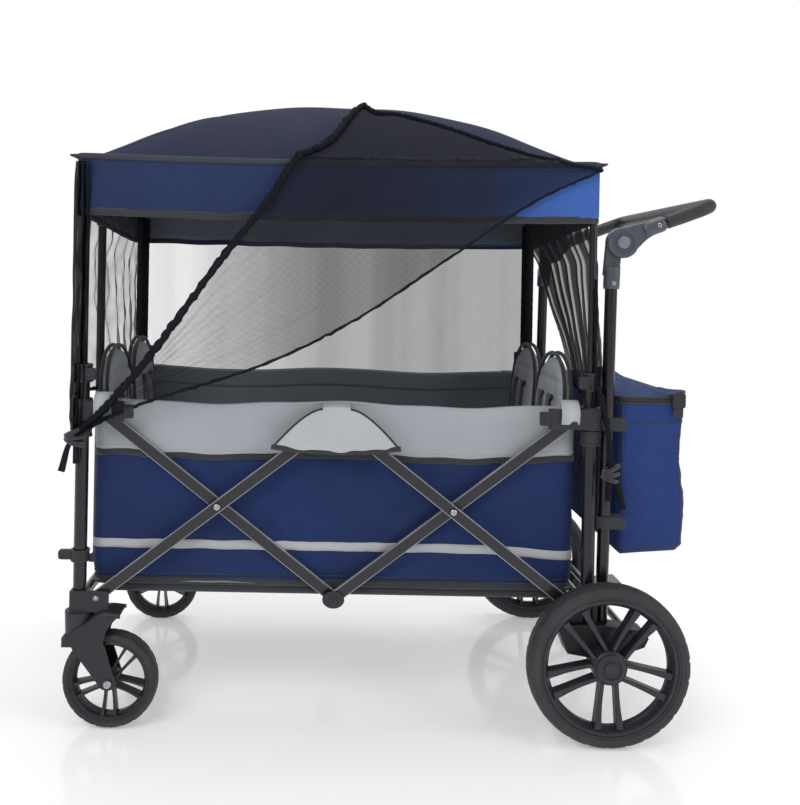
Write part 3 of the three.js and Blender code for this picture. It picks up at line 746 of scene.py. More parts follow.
def rim_height(x, y):
    """The rim is held up at the corners and at the middle, dips a little between, and stands
    higher along the far side."""
    share = (x - BASKET_LOW.x) / BASKET_LENGTH
    sag = 0.008 * math.sin(TAU * share) ** 2
    stands = 0.015 * ease(0.0, BASKET_HIGH.y * 0.9, y)
    return BASKET_WALL_Z - sag + stands + 0.0015 * rim_wave(share * 2, y * 3)


def band_height(x, y):
    """The seam between the blue wall and the light band."""
    share = (x - BASKET_LOW.x) / BASKET_LENGTH
    return BAND_Z + 0.004 * math.cos(TAU * share * 2) + 0.002 * rim_wave(share * 3 + 1, y * 2)


def stripe_height(x, y):
    """The middle of the reflective stripe, which drops a little at the rear."""
    share = (x - BASKET_LOW.x) / BASKET_LENGTH
    return STRIPE_Z + 0.0009 * rim_wave(share * 4 + 3, y * 2) - 0.010 * ease(0.80, 1.0, share)


def wall_point(ring, u, z, out=0.0):
    """A point on the slack basket wall: it bellies between its supports and creases at the corners."""
    x, y, nx, ny = ring.at(u)
    share = (z - BASKET_LOW.z) / (BASKET_WALL_Z - BASKET_LOW.z)
    middle = math.sin(math.pi * min(max(share, 0.0), 1.0))
    near_end = abs(x - BASKET_MID_X) / (BASKET_LENGTH / 2)
    belly = 0.0028 * wall_wave(u * 6, share * 1.3) * middle
    pull = 0.0016 * fine_wave(u * 7 + share * 1.5, share * 2) * (0.35 + 0.9 * near_end ** 3) * middle
    tuck = -0.006 * ease(0.10, 0.0, share)
    # Long creases fan out from where the middle pivots hold the cloth.
    reach = math.hypot(x, z - 0.25)
    fan = 0.0020 * math.sin(26 * math.atan2(z - 0.25, x))
    fan *= ease(0.05, 0.16, reach) * ease(0.42, 0.2, reach)
    push = belly + pull + tuck + (fan if abs(ny) > 0.9 else 0.0) + out
    return x + nx * push, y + ny * push, z


def wall_sheet(name, ring, low, high, mat, out, rows, thick=0.0016):
    """Cloth round the basket between two heights, which are functions of x and y."""
    def fn(u, v):
        x, y, _, _ = ring.at(u)
        z = low(x, y) + (high(x, y) - low(x, y)) * v
        return wall_point(ring, u, z, out)
    return fold_sheet(name, fn, WALL_COLUMNS, rows, mat, thick, wrap=True)


def wall_line(name, ring, height, radius, mat, out):
    """Piping or stitching round the basket at height(x, y)."""
    points = []
    for k in range(WALL_COLUMNS):
        x, y, _, _ = ring.at(k / WALL_COLUMNS)
        points.append(wall_point(ring, k / WALL_COLUMNS, height(x, y), out))
    return fold_tube(name, points, radius, mat, closed=True)


def basket():
    """The wall in its bands, its trim, the lining, the floor and the two flaps."""
    outer = Ring(BASKET_LOW.x, BASKET_HIGH.x, BASKET_LOW.y + 0.001, BASKET_HIGH.y - 0.001, 0.022)
    lining = Ring(BASKET_LOW.x + 0.004, BASKET_HIGH.x - 0.004, BASKET_LOW.y + 0.005,
                  BASKET_HIGH.y - 0.005, 0.018)
    base = BASKET_LOW.z
    body = wall_sheet("basket_body", outer, lambda x, y: base, band_height, "blue_fabric", 0.0, 44)
    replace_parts(body, "basket")
    wall_sheet("basket_rim_band", outer, band_height, rim_height, "light_fabric", 0.0008, 18)
    wall_sheet("basket_stripe", outer, lambda x, y: stripe_height(x, y) - STRIPE_HALF,
               lambda x, y: stripe_height(x, y) + STRIPE_HALF, "reflective", 0.0012, 4)
    wall_sheet("basket_binding", outer, lambda x, y: band_height(x, y) - 0.006,
               lambda x, y: band_height(x, y) + 0.006, "dark_fabric", 0.0014, 5, 0.0022)
    wall_line("basket_rim_piping", outer, lambda x, y: rim_height(x, y) - 0.001, 0.0042,
              "light_fabric", -0.0015)
    wall_line("basket_seam_top", outer, lambda x, y: band_height(x, y) + 0.0125, 0.0007,
              "grey_fabric", 0.0018)
    wall_line("basket_seam_bottom", outer, lambda x, y: base + 0.020, 0.0009, "dark_fabric", 0.0012)
    wall_sheet("basket_bottom_rail", outer, lambda x, y: base - 0.002, lambda x, y: base + 0.012,
               "dark_fabric", 0.0018, 4, 0.0024)
    wall_sheet("basket_lining", lining, lambda x, y: base + 0.006,
               lambda x, y: rim_height(x, y) - 0.034, "lining_fabric", -0.001, 30)
    wall_sheet("basket_inner_band", lining, lambda x, y: rim_height(x, y) - 0.040,
               lambda x, y: rim_height(x, y) - 0.001, "lining_fabric", -0.0022, 6, 0.002)

    def floor_point(u, v):
        x = lining.corners[1][0] + (lining.corners[0][0] - lining.corners[1][0] + 0.036) * u - 0.018
        y = (lining.corners[3][1] - 0.018) * (1 - 2 * v)
        return x, y, base + 0.004 + 0.0015 * fine_wave(u * 2, v)
    fold_sheet("basket_floor", floor_point, 60, 34, "lining_fabric", 0.003)
    for side, sign in SIDES:
        gusset(side, sign)


FLAP_TOP = 0.6165
FLAP_CORNER = (0.121, 0.532)      # half the width of the flap's hem, and its height there
FLAP_OUT = 0.3005                 # the flap hangs this far from the middle, over the arms
FLAP_NECK = 0.026                 # half its width at the rim
FLAP_ROUND = 0.0025               # how far its top drops at the sides
FLAP_OVER = 0.22                  # the share of the flap that turns over the rim
FLAP_TURN = 0.006                 # the drop of that turn


def gusset(side, sign):
    """The flap that covers the top middle pivot, tucked over the rim."""
    rng = ripples(31 + int(sign), 5, 1, 4)

    def half_width(share):
        return FLAP_NECK + (FLAP_CORNER[0] - FLAP_NECK) * share ** 0.62

    def hem(x):
        return FLAP_CORNER[1] - 0.009 * math.cos(math.pi / 2 * min(1, abs(x) / FLAP_CORNER[0]))

    def fn(u, v):
        across = 2 * u - 1
        top = FLAP_TOP - FLAP_ROUND * abs(across) ** 2
        if v < FLAP_OVER:
            a = v / FLAP_OVER * math.pi / 2
            start = BASKET_HIGH.y - 0.003
            y = start + (FLAP_OUT - start) * math.sin(a)
            return across * FLAP_NECK, sign * y, top - FLAP_TURN * (1 - math.cos(a))
        s = (v - FLAP_OVER) / (1 - FLAP_OVER)
        x = across * half_width(s)
        top -= FLAP_TURN
        z = top + (hem(x) - top) * s
        bulge = 0.0045 * math.sin(math.pi * s) * (1 - abs(across) ** 3)
        wave = 0.0018 * rng(u * 1.5, s * 1.2) * s
        return x, sign * (FLAP_OUT + bulge + wave), z
    fold_sheet(f"basket_gusset_{side}", fn, 41, 41, "flap_fabric", 0.0018)
    for label, u in (("front", 0.0), ("rear", 1.0)):
        edge = [fn(u, v) for v in np.linspace(FLAP_OVER, 1, 41)]
        fold_tube(f"basket_gusset_piping_{label}_{side}", edge, 0.0022, "dark_fabric")
    lower = [(x, y, z + 0.004) for x, y, z in (fn(u, 1.0) for u in np.linspace(0, 1, 41))]
    fold_tube(f"basket_gusset_binding_{side}", lower, 0.0052, "dark_fabric", 10,
              squash_to=(0.42, 1.0))


basket()


def floor_mat():
    """The stiff board under the basket, bound all round."""
    low, high = box("floor_mat")
    ring = Ring(low.x, high.x, low.y, high.y, 0.02)
    mid = (low.z + high.z) / 2
    half = (high.z - low.z) / 2

    def edge(u, v):
        x, y, nx, ny = ring.at(u)
        a = (v - 0.5) * math.pi
        back = half * (1 - math.cos(a))
        return x - nx * back, y - ny * back, mid + half * math.sin(a)
    made = fold_sheet("floor_mat_edge", edge, 260, 7, "dark_fabric", wrap=True)
    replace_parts(made, "floor_mat")
    for label, z in (("under", low.z + 0.0012), ("upper", high.z - 0.0012)):
        def face(u, v):
            return (low.x + 0.008 + (high.x - low.x - 0.016) * u,
                    low.y + 0.008 + (high.y - low.y - 0.016) * v, z + 0.0006 * fine_wave(u * 3, v * 2))
        fold_sheet(f"floor_mat_{label}", face, 50, 30, "dark_fabric")


floor_mat()


# Canopy --------------------------------------------------------------------------------------

CANOPY_A = (CANOPY_HIGH.x - CANOPY_LOW.x) / 2
CANOPY_MID_X = (CANOPY_HIGH.x + CANOPY_LOW.x) / 2
CANOPY_B = CANOPY_HIGH.y
EDGE_Z = 1.075
CROWN_Z = CANOPY_HIGH.z - 0.001
SKIRT_Z = CANOPY_LOW.z - 0.004
FAR_DROP = 0.030                  # the right-hand valance hangs lower
canopy_wave = ripples(21, 7, 0.6, 2.6)
canopy_fine = ripples(22, 9, 3.0, 9.0)


def dome(x, y):
    """Height of the roof above its edge: arched over the hoops in both directions."""
    along = min(1.0, abs(x - CANOPY_MID_X) / CANOPY_A)
    across = min(1.0, abs(y) / CANOPY_B)
    return (CROWN_Z - EDGE_Z) * (1 - along ** 2.4) ** 0.8 * (1 - across ** 2)


def edge_height(x, y):
    """The long edges sag a little between the poles."""
    share = (x - CANOPY_LOW.x) / (2 * CANOPY_A)
    return EDGE_Z - 0.006 * math.sin(math.pi * share) * abs(y) / CANOPY_B


def skirt_height(x, y):
    """The valance's lower edge."""
    share = (x - CANOPY_LOW.x) / (2 * CANOPY_A)
    far = FAR_DROP * ease(-CANOPY_B, CANOPY_B, y)
    return SKIRT_Z - far - 0.005 * math.sin(math.pi * share) + 0.002 * canopy_wave(share * 3, y)


def roof_point(x, y, lift=0.0):
    """A point on the roof, or lifted off it."""
    crease = 0.0022 * canopy_wave((x - CANOPY_LOW.x) * 2, y * 2)
    # Folds that stay in the cloth where the front hoop pushes it up.
    for place in (-0.31, -0.25):
        crease += 0.0026 * math.exp(-((x - place + abs(y) * 0.8) / 0.010) ** 2)
    rise = dome(x, y)
    fade = min(1.0, rise / 0.03)
    return Vector((x, y, edge_height(x, y) + rise + crease * fade + lift))


def canopy():
    """The roof, its valance and edgings, the lining, the corner pockets and the hoops."""
    ring = Ring(CANOPY_LOW.x + 0.003, CANOPY_HIGH.x - 0.003, -CANOPY_B + 0.003, CANOPY_B - 0.003, 0.02)

    def roof(u, v):
        x, y, _, _ = ring.at(u)
        s = 1 - v ** 1.3
        px, py = CANOPY_MID_X + (x - CANOPY_MID_X) * s, y * s
        point = roof_point(px, py)
        corner = dome(x, y)
        return point - Vector((0, 0, corner * s ** 8))

    def valance(u, v):
        x, y, nx, ny = ring.at(u)
        low, high = skirt_height(x, y), edge_height(x, y)
        z = low + (high - low) * v
        hang = 1 - v
        out = 0.0025 * math.sin(math.pi * hang) + 0.0022 * canopy_wave(u * 7, v) * hang
        out += 0.0014 * canopy_fine(u * 6, v * 0.7) * hang
        return x + nx * out, y + ny * out, z

    made = fold_sheet("canopy_roof", roof, 360, 60, "canopy_roof", 0.0014, wrap=True)
    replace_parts(made, "canopy")
    fold_sheet("canopy_valance", valance, 420, 16, "canopy_fabric", 0.0014, wrap=True)

    def band(u, v):
        x, y, z = valance(u, 0.0)
        _, _, nx, ny = ring.at(u)
        a = (v - 0.5) * math.pi
        out = 0.0018 * math.cos(a)
        return x + nx * out, y + ny * out, z + 0.0062 * math.sin(a)
    fold_sheet("canopy_binding", band, 420, 6, "dark_fabric", 0.0024, wrap=True)
    piping = ring.path(edge_height, 420, 0.0012)
    fold_tube("canopy_piping", piping, 0.0062, "edging", 12, closed=True, squash_to=(0.7, 1.0))

    def inside(u, v):
        x, y, z = valance(u, 0.04 + 0.94 * v)
        _, _, nx, ny = ring.at(u)
        return x - nx * 0.0030, y - ny * 0.0030, z
    fold_sheet("canopy_lining", inside, 420, 12, "dark_lining", 0.001, wrap=True)

    def ceiling(u, v):
        x, y, z = roof(u, v)
        return CANOPY_MID_X + (x - CANOPY_MID_X) * 0.994, y * 0.990, z - 0.0035
    fold_sheet("canopy_ceiling", ceiling, 200, 30, "dark_lining", 0.001, wrap=True)
    stitch = ring.path(lambda x, y: edge_height(x, y) - 0.013, 420, 0.0012)
    fold_tube("canopy_stitch", stitch, 0.0008, "dark_fabric", 6, closed=True)
    # A pole pocket reinforces each corner.
    for side, sign in SIDES:
        for end, x, way in (("front", CANOPY_LOW.x + 0.024, -1), ("rear", CANOPY_HIGH.x - 0.024, 1)):
            tag = f"{end}_{side}"
            outline = rounded(x - 0.019, x + 0.019, SKIRT_Z + 0.003, EDGE_Z - 0.012, 0.004)
            y = sign * (CANOPY_B - 0.0018)
            with_fold(plate(f"canopy_pocket_{tag}", outline, (y - 0.001, y + 0.001), "canopy_fabric",
                            "rear_frame", 0.0006))
            ear = [(x + way * (0.016 + 0.017 * s), sign * (CANOPY_B - 0.012 + 0.012 * s),
                    EDGE_Z - 0.001 + 0.002 * s) for s in np.linspace(0, 1, 10)]
            fold_tube(f"canopy_ear_{tag}", ear, lambda s: 0.0085 * (1 - 0.72 * s), "edging", 12,
                      squash_to=(1.0, 0.75))
    # The ribs of the two hoops show under the cloth.
    for label, x in (("front", -0.25), ("rear", 0.25)):
        reach = CANOPY_B * 0.93
        points = [roof_point(x, y, -0.012) for y in np.linspace(-reach, reach, 40)]
        fold_tube(f"canopy_hoop_{label}", points, 0.004, "black_plastic")


canopy()


# Insect net ----------------------------------------------------------------------------------

NET_Y = 0.2995                    # the near curtain hangs outside the scissor arms
OVER_EDGE_Y = CANOPY_B + 0.0045   # where it turns over the canopy's edge
UNROLL = 0.25                     # the height that stands for the roof's near slope, laid flat
net_wave = ripples(41, 9, 0.8, 3.5)
net_fine = ripples(42, 9, 3.0, 9.0)
# Places on the near curtain, as X and height; a height over the edge lies on the roof's slope.
CURTAIN_KNOT = (-0.489, 0.548)
CURTAIN_HEM = [(0.050, EDGE_Z + 0.650 * UNROLL), (-0.0145, EDGE_Z + 0.165 * UNROLL),
               (-0.085, 1.070), (-0.139, 0.990), (-0.222, 0.883), (-0.348, 0.705),
               (-0.432, 0.604), CURTAIN_KNOT]
CURTAIN_LOWER = [(0.489, 1.062), (0.365, 1.004), (0.200, 0.891), (0.030, 0.775), (-0.142, 0.688),
                 (-0.337, 0.622), (-0.420, 0.588), CURTAIN_KNOT]
CURTAIN_TOP = [(0.050, EDGE_Z + 0.650 * UNROLL), (0.072, EDGE_Z + 0.490 * UNROLL),
               (0.117, EDGE_Z + 0.490 * UNROLL), (0.205, EDGE_Z + 0.340 * UNROLL),
               (0.324, EDGE_Z + 0.140 * UNROLL), (0.410, EDGE_Z), (0.489, 1.062)]


def hang(x, height, out=0.0):
    """From the flat curtain to the wagon: down the side, or folded over the roof's edge."""
    if height <= EDGE_Z:
        drop = ease(EDGE_Z, EDGE_Z - 0.03, height)
        y = OVER_EDGE_Y + (NET_Y - OVER_EDGE_Y) * drop + out
        return Vector((x, -y, height + 0.004 * (1 - drop)))
    share = (height - EDGE_Z) / UNROLL
    y = -OVER_EDGE_Y * (1 - share)
    lift = 0.0065 + out
    point = roof_point(x, y, lift)
    rim = 1 - ease(0.0, 0.02, share)
    return Vector((x, y - lift * rim, point.z))


def curtain():
    """The near net: drawn from the roof and the rear corner down to a knot at the front post."""
    top_start, top_end = np.array(CURTAIN_TOP[0]), np.array(CURTAIN_TOP[-1])

    def flat(s, t):
        hem, lower = spline(CURTAIN_HEM, t), spline(CURTAIN_LOWER, t)
        bow = spline(CURTAIN_TOP, s) - (top_start + (top_end - top_start) * s)
        return hem * (1 - s) + lower * s + bow * (1 - t) ** 3

    def fn(u, v):
        x, z = flat(u, v)
        bunch = ease(0.0, 1.0, v)
        folds = math.sin(TAU * (5.0 * u + 0.35 * net_wave(u, v)))
        out = 0.0012 + 0.004 * abs(folds) * (0.25 + bunch) * math.sin(math.pi * min(1, max(0, u))) ** 0.5
        out += 0.0022 * (1 + net_wave(u * 2 + 1, v * 2))
        on_roof = ease(EDGE_Z - 0.01, EDGE_Z + 0.02, z)
        out *= 1 - 0.55 * on_roof
        return hang(x, z, out + 0.010 * bunch ** 6)
    made = fold_sheet("net_curtain", fn, 120, 170, "net_near", 0)
    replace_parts(made, "net_left")

    # The elastic hem bunches the cloth into a thick ruffled rope.
    def rope(name, track, start, end, count, thick, swell, lift):
        points = []
        for k in range(count):
            t = start + (end - start) * k / (count - 1)
            x, z = spline(track, t)
            jitter = 0.0022 * net_fine(t * 9, 0.3)
            points.append(hang(x + jitter, z + 0.0022 * net_fine(t * 8, 0.7), lift + thick * 0.6))
        beads = count * 0.24

        def radius(share):
            ruffle = 0.5 + 0.5 * math.sin(TAU * beads * share + 3 * net_fine(share * 6, 0.1))
            return thick * (0.72 + 0.28 * ruffle + 0.18 * net_fine(share * 13, 0.5)) * swell(share)
        fold_tube(name, points, radius, "net_gather", 16)
    rope("net_hem", CURTAIN_HEM, 0.0, 0.985, 230, 0.0078,
         lambda s: 0.75 + 0.25 * ease(0.0, 0.1, s) + 0.1 * s, 0.003)
    rope("net_top_ruffle", CURTAIN_TOP, 0.0, 0.70, 130, 0.0062,
         lambda s: 1.0 - 0.35 * s, 0.001)
    rope("net_top_fold", CURTAIN_TOP, 0.66, 1.0, 40, 0.0042, lambda s: 0.8 + 0.4 * s, 0.001)
    rope("net_lower_edge", CURTAIN_LOWER, 0.0, 0.99, 120, 0.0030, lambda s: 0.9 + 0.3 * s, 0.0005)


def knot(name, centre, size, way, body):
    """Where a drawn net is tied off: crossed wraps, a knotted lump and two short tails."""
    cx, cy, cz = centre
    for index, tilt in enumerate((-0.5, 0.15, 0.7)):
        points = []
        for k in range(40):
            a = TAU * k / 40
            r = size * (1 + 0.1 * math.sin(3 * a + index))
            points.append((cx + r * math.cos(a) * 1.05, cy + r * math.sin(a) * 0.75,
                           cz + 0.010 * (index - 1) + tilt * r * math.cos(a) * 0.7))
        tube(f"{name}_wrap_{index}", points, size * 0.30, "dark_fabric", body, 10, closed=True)
    for index, (spread, length) in enumerate(((-0.4, 0.030), (1.0, 0.046))):
        points = []
        for s in np.linspace(0, 1, 18):
            points.append((cx + way * (0.008 + 0.012 * s) * spread, cy - 0.004 - 0.010 * s,
                           cz - 0.012 - length * s + 0.004 * math.sin(5 * s)))
        tube(f"{name}_tail_{index}", points, lambda s: 0.0045 * (1 + 0.5 * s), "net_gather", body, 10)


def bundle(name, track, widths, fold_count, seed, body):
    """A gathered strip of net along a track of 3-D places; widths gives half its width."""
    wave = ripples(seed, 7, 0.6, 2.5)

    def fn(u, v):
        centre = spline(track, v)
        half = spline([(w,) for w in widths], v)[0]
        angle = TAU * (fold_count * u + 0.25 * wave(u, v * 2))
        across = (2 * u - 1) * half + 0.002 * wave(u * 3, v * 3)
        deep = half * 0.55 * math.sin(angle)
        return centre[0] + across, centre[1] + deep, centre[2]
    return sheet(name, fn, fold_count * 14, 60, "net_gather", body, 0)


def panels():
    """The nets on the far side and the two ends, and the gathers that hang beside the near poles."""
    low, high = box("net_right")
    tuck = 0.022

    def far(u, v):
        x = low.x + (high.x - low.x) * u
        bottom = low.z - tuck
        z = bottom + (EDGE_Z - bottom) * v
        wrinkle = 0.0035 * net_wave(u * 5, v * 1.1) + 0.0018 * net_fine(u * 6 + v * 2, v)
        # Low down it hangs clear of the sliders and the rim loops.
        clear = 0.003 + 0.011 * ease(0.75, 0.45, v)
        return x, high.y + clear + wrinkle * (0.3 + 0.7 * (1 - v)), z
    made = fold_sheet("net_far_panel", far, 220, 90, "net", 0)
    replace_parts(made, "net_right")
    hem = [far(u, 0.0) for u in np.linspace(0, 1, 160)]
    fold_tube("net_far_hem", hem, lambda s: 0.0042 * (1 + 0.22 * math.sin(TAU * 48 * s)),
              "net_gather", 10)

    f_low, f_high = box("net_front")

    def front(u, v):
        y = f_low.y + (f_high.y - f_low.y) * u
        z = f_low.z + (SKIRT_Z + 0.02 - f_low.z) * v
        depth = 0.010 * math.sin(TAU * (7 * u + 0.4 * net_wave(u, v))) * (1 - 0.55 * v)
        depth += 0.006 * net_wave(u * 3, v * 2)
        pull = 0.02 * (1 - v) * math.sin(math.pi * u)
        behind = 0.016 * ease(0.70, 0.90, v)
        return f_low.x + 0.004 + behind + depth * 0.6 + pull, y, z
    made = sheet("net_front_panel", front, 200, 60, "net", "front_frame", 0)
    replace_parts(made, "net_front")

    r_low, r_high = box("net_rear")

    fold_places = (0.06, 0.19, 0.27, 0.44, 0.58, 0.71, 0.93)

    def rear(u, v):
        near = r_low.y + 0.012
        wide = r_high.y - near
        draw = 0.30 + 0.70 * ease(0.0, 1.0, v) ** 0.8
        y = near + wide * u * draw
        z = r_low.z + 0.03 * u * (1 - v) + (SKIRT_Z + 0.02 - r_low.z) * v
        depth = sum(math.exp(-((u - place - 0.02 * net_wave(v, place)) / 0.013) ** 2)
                    for place in fold_places)
        # The top hangs behind the valance.
        behind = 0.020 * ease(0.70, 0.90, v)
        return r_high.x - 0.003 - behind - 0.010 * depth * (1.2 - 0.7 * v), y, z
    made = sheet("net_rear_panel", rear, 200, 60, "net", "rear_frame", 0)
    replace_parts(made, "net_rear")
    for end, panel in (("front", front), ("rear", rear)):
        edge = [panel(u, 0.0) for u in np.linspace(0, 1, 120)]
        tube(f"net_{end}_hem", edge, lambda s: 0.0038 * (1 + 0.22 * math.sin(TAU * 34 * s)),
             "net_gather", f"{end}_frame", 10)

    side = -(NET_Y - 0.004)
    front_x, rear_x = CANOPY_LOW.x + 0.010, CANOPY_HIGH.x - 0.006
    bundle("net_front_gather", [(front_x + 0.006, side, EDGE_Z - 0.01), (front_x + 0.005, side, 0.85),
                                (front_x + 0.003, side, 0.66), (CURTAIN_KNOT[0], side - 0.006, 0.56)],
           [0.015, 0.0145, 0.014, 0.010], 3, 51, "front_frame")
    rear_top = 0.86
    made = bundle("net_rear_gather", [(rear_x - 0.004, side, rear_top), (rear_x - 0.002, side, 0.78),
                                      (rear_x + 0.002, side, 0.70), (rear_x - 0.004, side, 0.62)],
                  [0.002, 0.005, 0.008, 0.009], 2, 52, "rear_frame")
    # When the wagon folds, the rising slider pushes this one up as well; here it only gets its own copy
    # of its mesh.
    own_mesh(made)
    top = SKIRT_Z + 0.02
    for end, x in (("front", FRONT_POST_X), ("rear", POST.x)):
        sleeve = [(x, POST.y, z) for z in np.linspace(POST_TOP + 0.012, top, 50)]
        made = tube(f"pole_sleeve_{end}_right", sleeve,
                    lambda s: 0.0148 * (1 + 0.05 * net_fine(s * 4, 0.2)), "net_gather",
                    f"{end}_frame", 20)
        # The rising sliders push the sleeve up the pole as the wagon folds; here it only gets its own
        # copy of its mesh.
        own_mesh(made)
    tie = [(0.488, -0.302, 0.66), (0.502, -0.305, 0.60), (0.512, -0.303, 0.54), (0.514, -0.301, 0.50)]
    tube("net_rear_tie", [spline(tie, t) for t in np.linspace(0, 1, 40)],
         lambda s: 0.0052 * (1 + 0.25 * math.sin(TAU * 9 * s)), "net_gather", "rear_frame", 12)
    knot("net_rear_knot", (0.514, -0.300, 0.495), 0.0125, 1, "rear_frame")
    knot("net_front_knot", (CURTAIN_KNOT[0], -0.303, CURTAIN_KNOT[1]), 0.0150, -1, "front_frame")


curtain()
panels()


# Seats ---------------------------------------------------------------------------------------

def inflate(name, verts, faces, cap, voxel=0.005):
    """Swells a closed block mesh like stuffed cloth, then caps how far any point moved."""
    mesh = bpy.data.meshes.new(name)
    mesh.from_pydata(verts, [], faces)
    obj = bpy.data.objects.new(name, mesh)
    bpy.context.scene.collection.objects.link(obj)
    bm = bmesh.new()
    bm.from_mesh(mesh)
    bmesh.ops.recalc_face_normals(bm, faces=bm.faces)
    bm.to_mesh(mesh)
    bm.free()
    modifier(obj, "REMESH", mode="VOXEL", voxel_size=voxel)
    apply_modifiers(obj)
    rest = np.array([v.co for v in obj.data.vertices])
    cloth = modifier(obj, "CLOTH").settings
    cloth.use_pressure = True
    cloth.uniform_pressure_force = 4.0
    cloth.effector_weights.gravity = 0
    cloth.quality = 4
    scene = bpy.context.scene
    for step in range(1, 21):
        scene.frame_set(step)
    apply_modifiers(obj)
    scene.frame_set(1)
    moved = np.array([v.co for v in obj.data.vertices]) - rest
    length = np.linalg.norm(moved, axis=1, keepdims=True)
    moved *= np.minimum(1.0, cap / np.maximum(length, 1e-9))
    obj.data.vertices.foreach_set("co", (rest + moved).astype(np.float32).ravel())
    points = np.array([v.co for v in obj.data.vertices])
    quads = [tuple(p.vertices) for p in obj.data.polygons]
    bpy.data.objects.remove(obj)
    return points, quads


def apply_modifiers(obj):
    """Turns what the modifiers make into the object's own mesh."""
    graph = bpy.context.evaluated_depsgraph_get()
    made = bpy.data.meshes.new_from_object(obj.evaluated_get(graph))
    obj.modifiers.clear()
    obj.data = made


def slab(outline, x0, x1, layers=5):
    """A closed block from a YZ outline, from x0 to x1."""
    verts = [(x, y, z) for x in np.linspace(x0, x1, layers) for y, z in outline]
    return verts, bands(layers, len(outline))


def seat_outline(half, z0, z1, steps=18):
    """A seat back seen from in front: straight sides and a broad round top."""
    r = 0.018
    points = []
    for a in np.linspace(0, math.pi / 2, 5):
        for way in (-1, 1):
            points.append((way * (half - r * (1 - math.cos(a))), z0 + r * (1 - math.sin(a))))
    shoulder = z1 - half * 0.80
    arch = [(half * math.cos(a), shoulder + (z1 - shoulder) * math.sin(a) ** 0.9)
            for a in np.linspace(0.04, math.pi - 0.04, steps)]
    return points + arch


def tidy_outline(points):
    """Orders an outline round its own middle, so it never crosses itself."""
    cy = sum(p[0] for p in points) / len(points)
    cz = sum(p[1] for p in points) / len(points)
    return sorted(points, key=lambda p: math.atan2(p[1] - cz, p[0] - cy))


def seat_backs():
    """One inflated form serves all four backs; each gets its channels, piping and harness."""
    low, high = box("rear_seat_back_right")
    half = (high.y - low.y) / 2
    thick = high.x - low.x
    outline = tidy_outline(seat_outline(half - 0.004, low.z + 0.004, high.z - 0.003))
    swell = 0.006
    block = slab(outline, -thick / 2 + swell, thick / 2 - swell)
    points, faces = inflate("seat_back_form", *block, swell)
    edge = tidy_outline(seat_outline(half - 0.001, low.z + 0.001, high.z))

    def lean(z):
        """The pads tip outwards towards their tops."""
        return 0.015 * max(0.0, (z - low.z) / (high.z - low.z)) ** 1.3

    for end in ("front", "rear"):
        for side, _ in SIDES:
            node = f"{end}_seat_back_{side}"
            n_low, n_high = box(node)
            mid_x, mid_y = (n_low.x + n_high.x) / 2, (n_low.y + n_high.y) / 2
            face_in = 1 if end == "front" else -1
            body = f"{end}_frame"
            verts = []
            for x, y, z in points:
                # Two sewn channels run down the pad and one crosses it near the top.
                groove = 0.0
                for line in (-half * 0.42, half * 0.42):
                    down = ease(high.z - 0.035, high.z - 0.07, z)
                    groove += math.exp(-((y - line) / 0.006) ** 2) * down
                crossing = 0.8 * math.exp(-((z - (high.z - 0.052)) / 0.006) ** 2)
                groove += crossing * ease(half, half * 0.7, abs(y))
                depth = math.copysign(0.0035 * groove, x)
                verts.append((mid_x + (x - depth) - face_in * lean(z), mid_y + y, z))
            made = piece(node + "_pad", verts, faces, "grey_fabric", body, 80)
            modifier(made, "SUBSURF", levels=1, render_levels=1)
            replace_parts(made, node)
            for label, x in (("inner", mid_x + face_in * (thick / 2 - 0.007)),
                             ("outer", mid_x - face_in * (thick / 2 - 0.007))):
                path = [(x - face_in * lean(z), mid_y + y * 0.992, z) for y, z in smooth_loop(edge, 120)]
                tube(f"{node}_piping_{label}", path, 0.0040, "dark_fabric", body, 8, closed=True)
            harness(node, mid_x, mid_y, face_in, thick, high.z, body)


def smooth_loop(points, count):
    """Even points round a closed outline."""
    loop = np.array(points + [points[0]])
    steps = np.linalg.norm(np.diff(loop, axis=0), axis=1)
    along = np.concatenate([[0], np.cumsum(steps)])
    wanted = np.linspace(0, along[-1], count, endpoint=False)
    return list(zip(np.interp(wanted, along, loop[:, 0]), np.interp(wanted, along, loop[:, 1])))


def strap(name, path, width, body, across):
    """Flat webbing along a path; across is the direction of its width at every point."""
    wide = Vector(across).normalized()
    thick = 0.0018
    verts = []
    pts = [Vector(p) for p in path]
    for i, p in enumerate(pts):
        ahead = pts[min(i + 1, len(pts) - 1)] - pts[max(i - 1, 0)]
        up = ahead.cross(wide).normalized()
        for a, b in ((-1, -1), (1, -1), (1, 1), (-1, 1)):
            verts.append(p + wide * (a * width / 2) + up * (b * thick / 2))
    obj = piece(name, verts, bands(len(pts), 4), "dark_fabric", body, 50)
    modifier(obj, "BEVEL", width=thick * 0.3, segments=2, limit_method="ANGLE")
    return obj


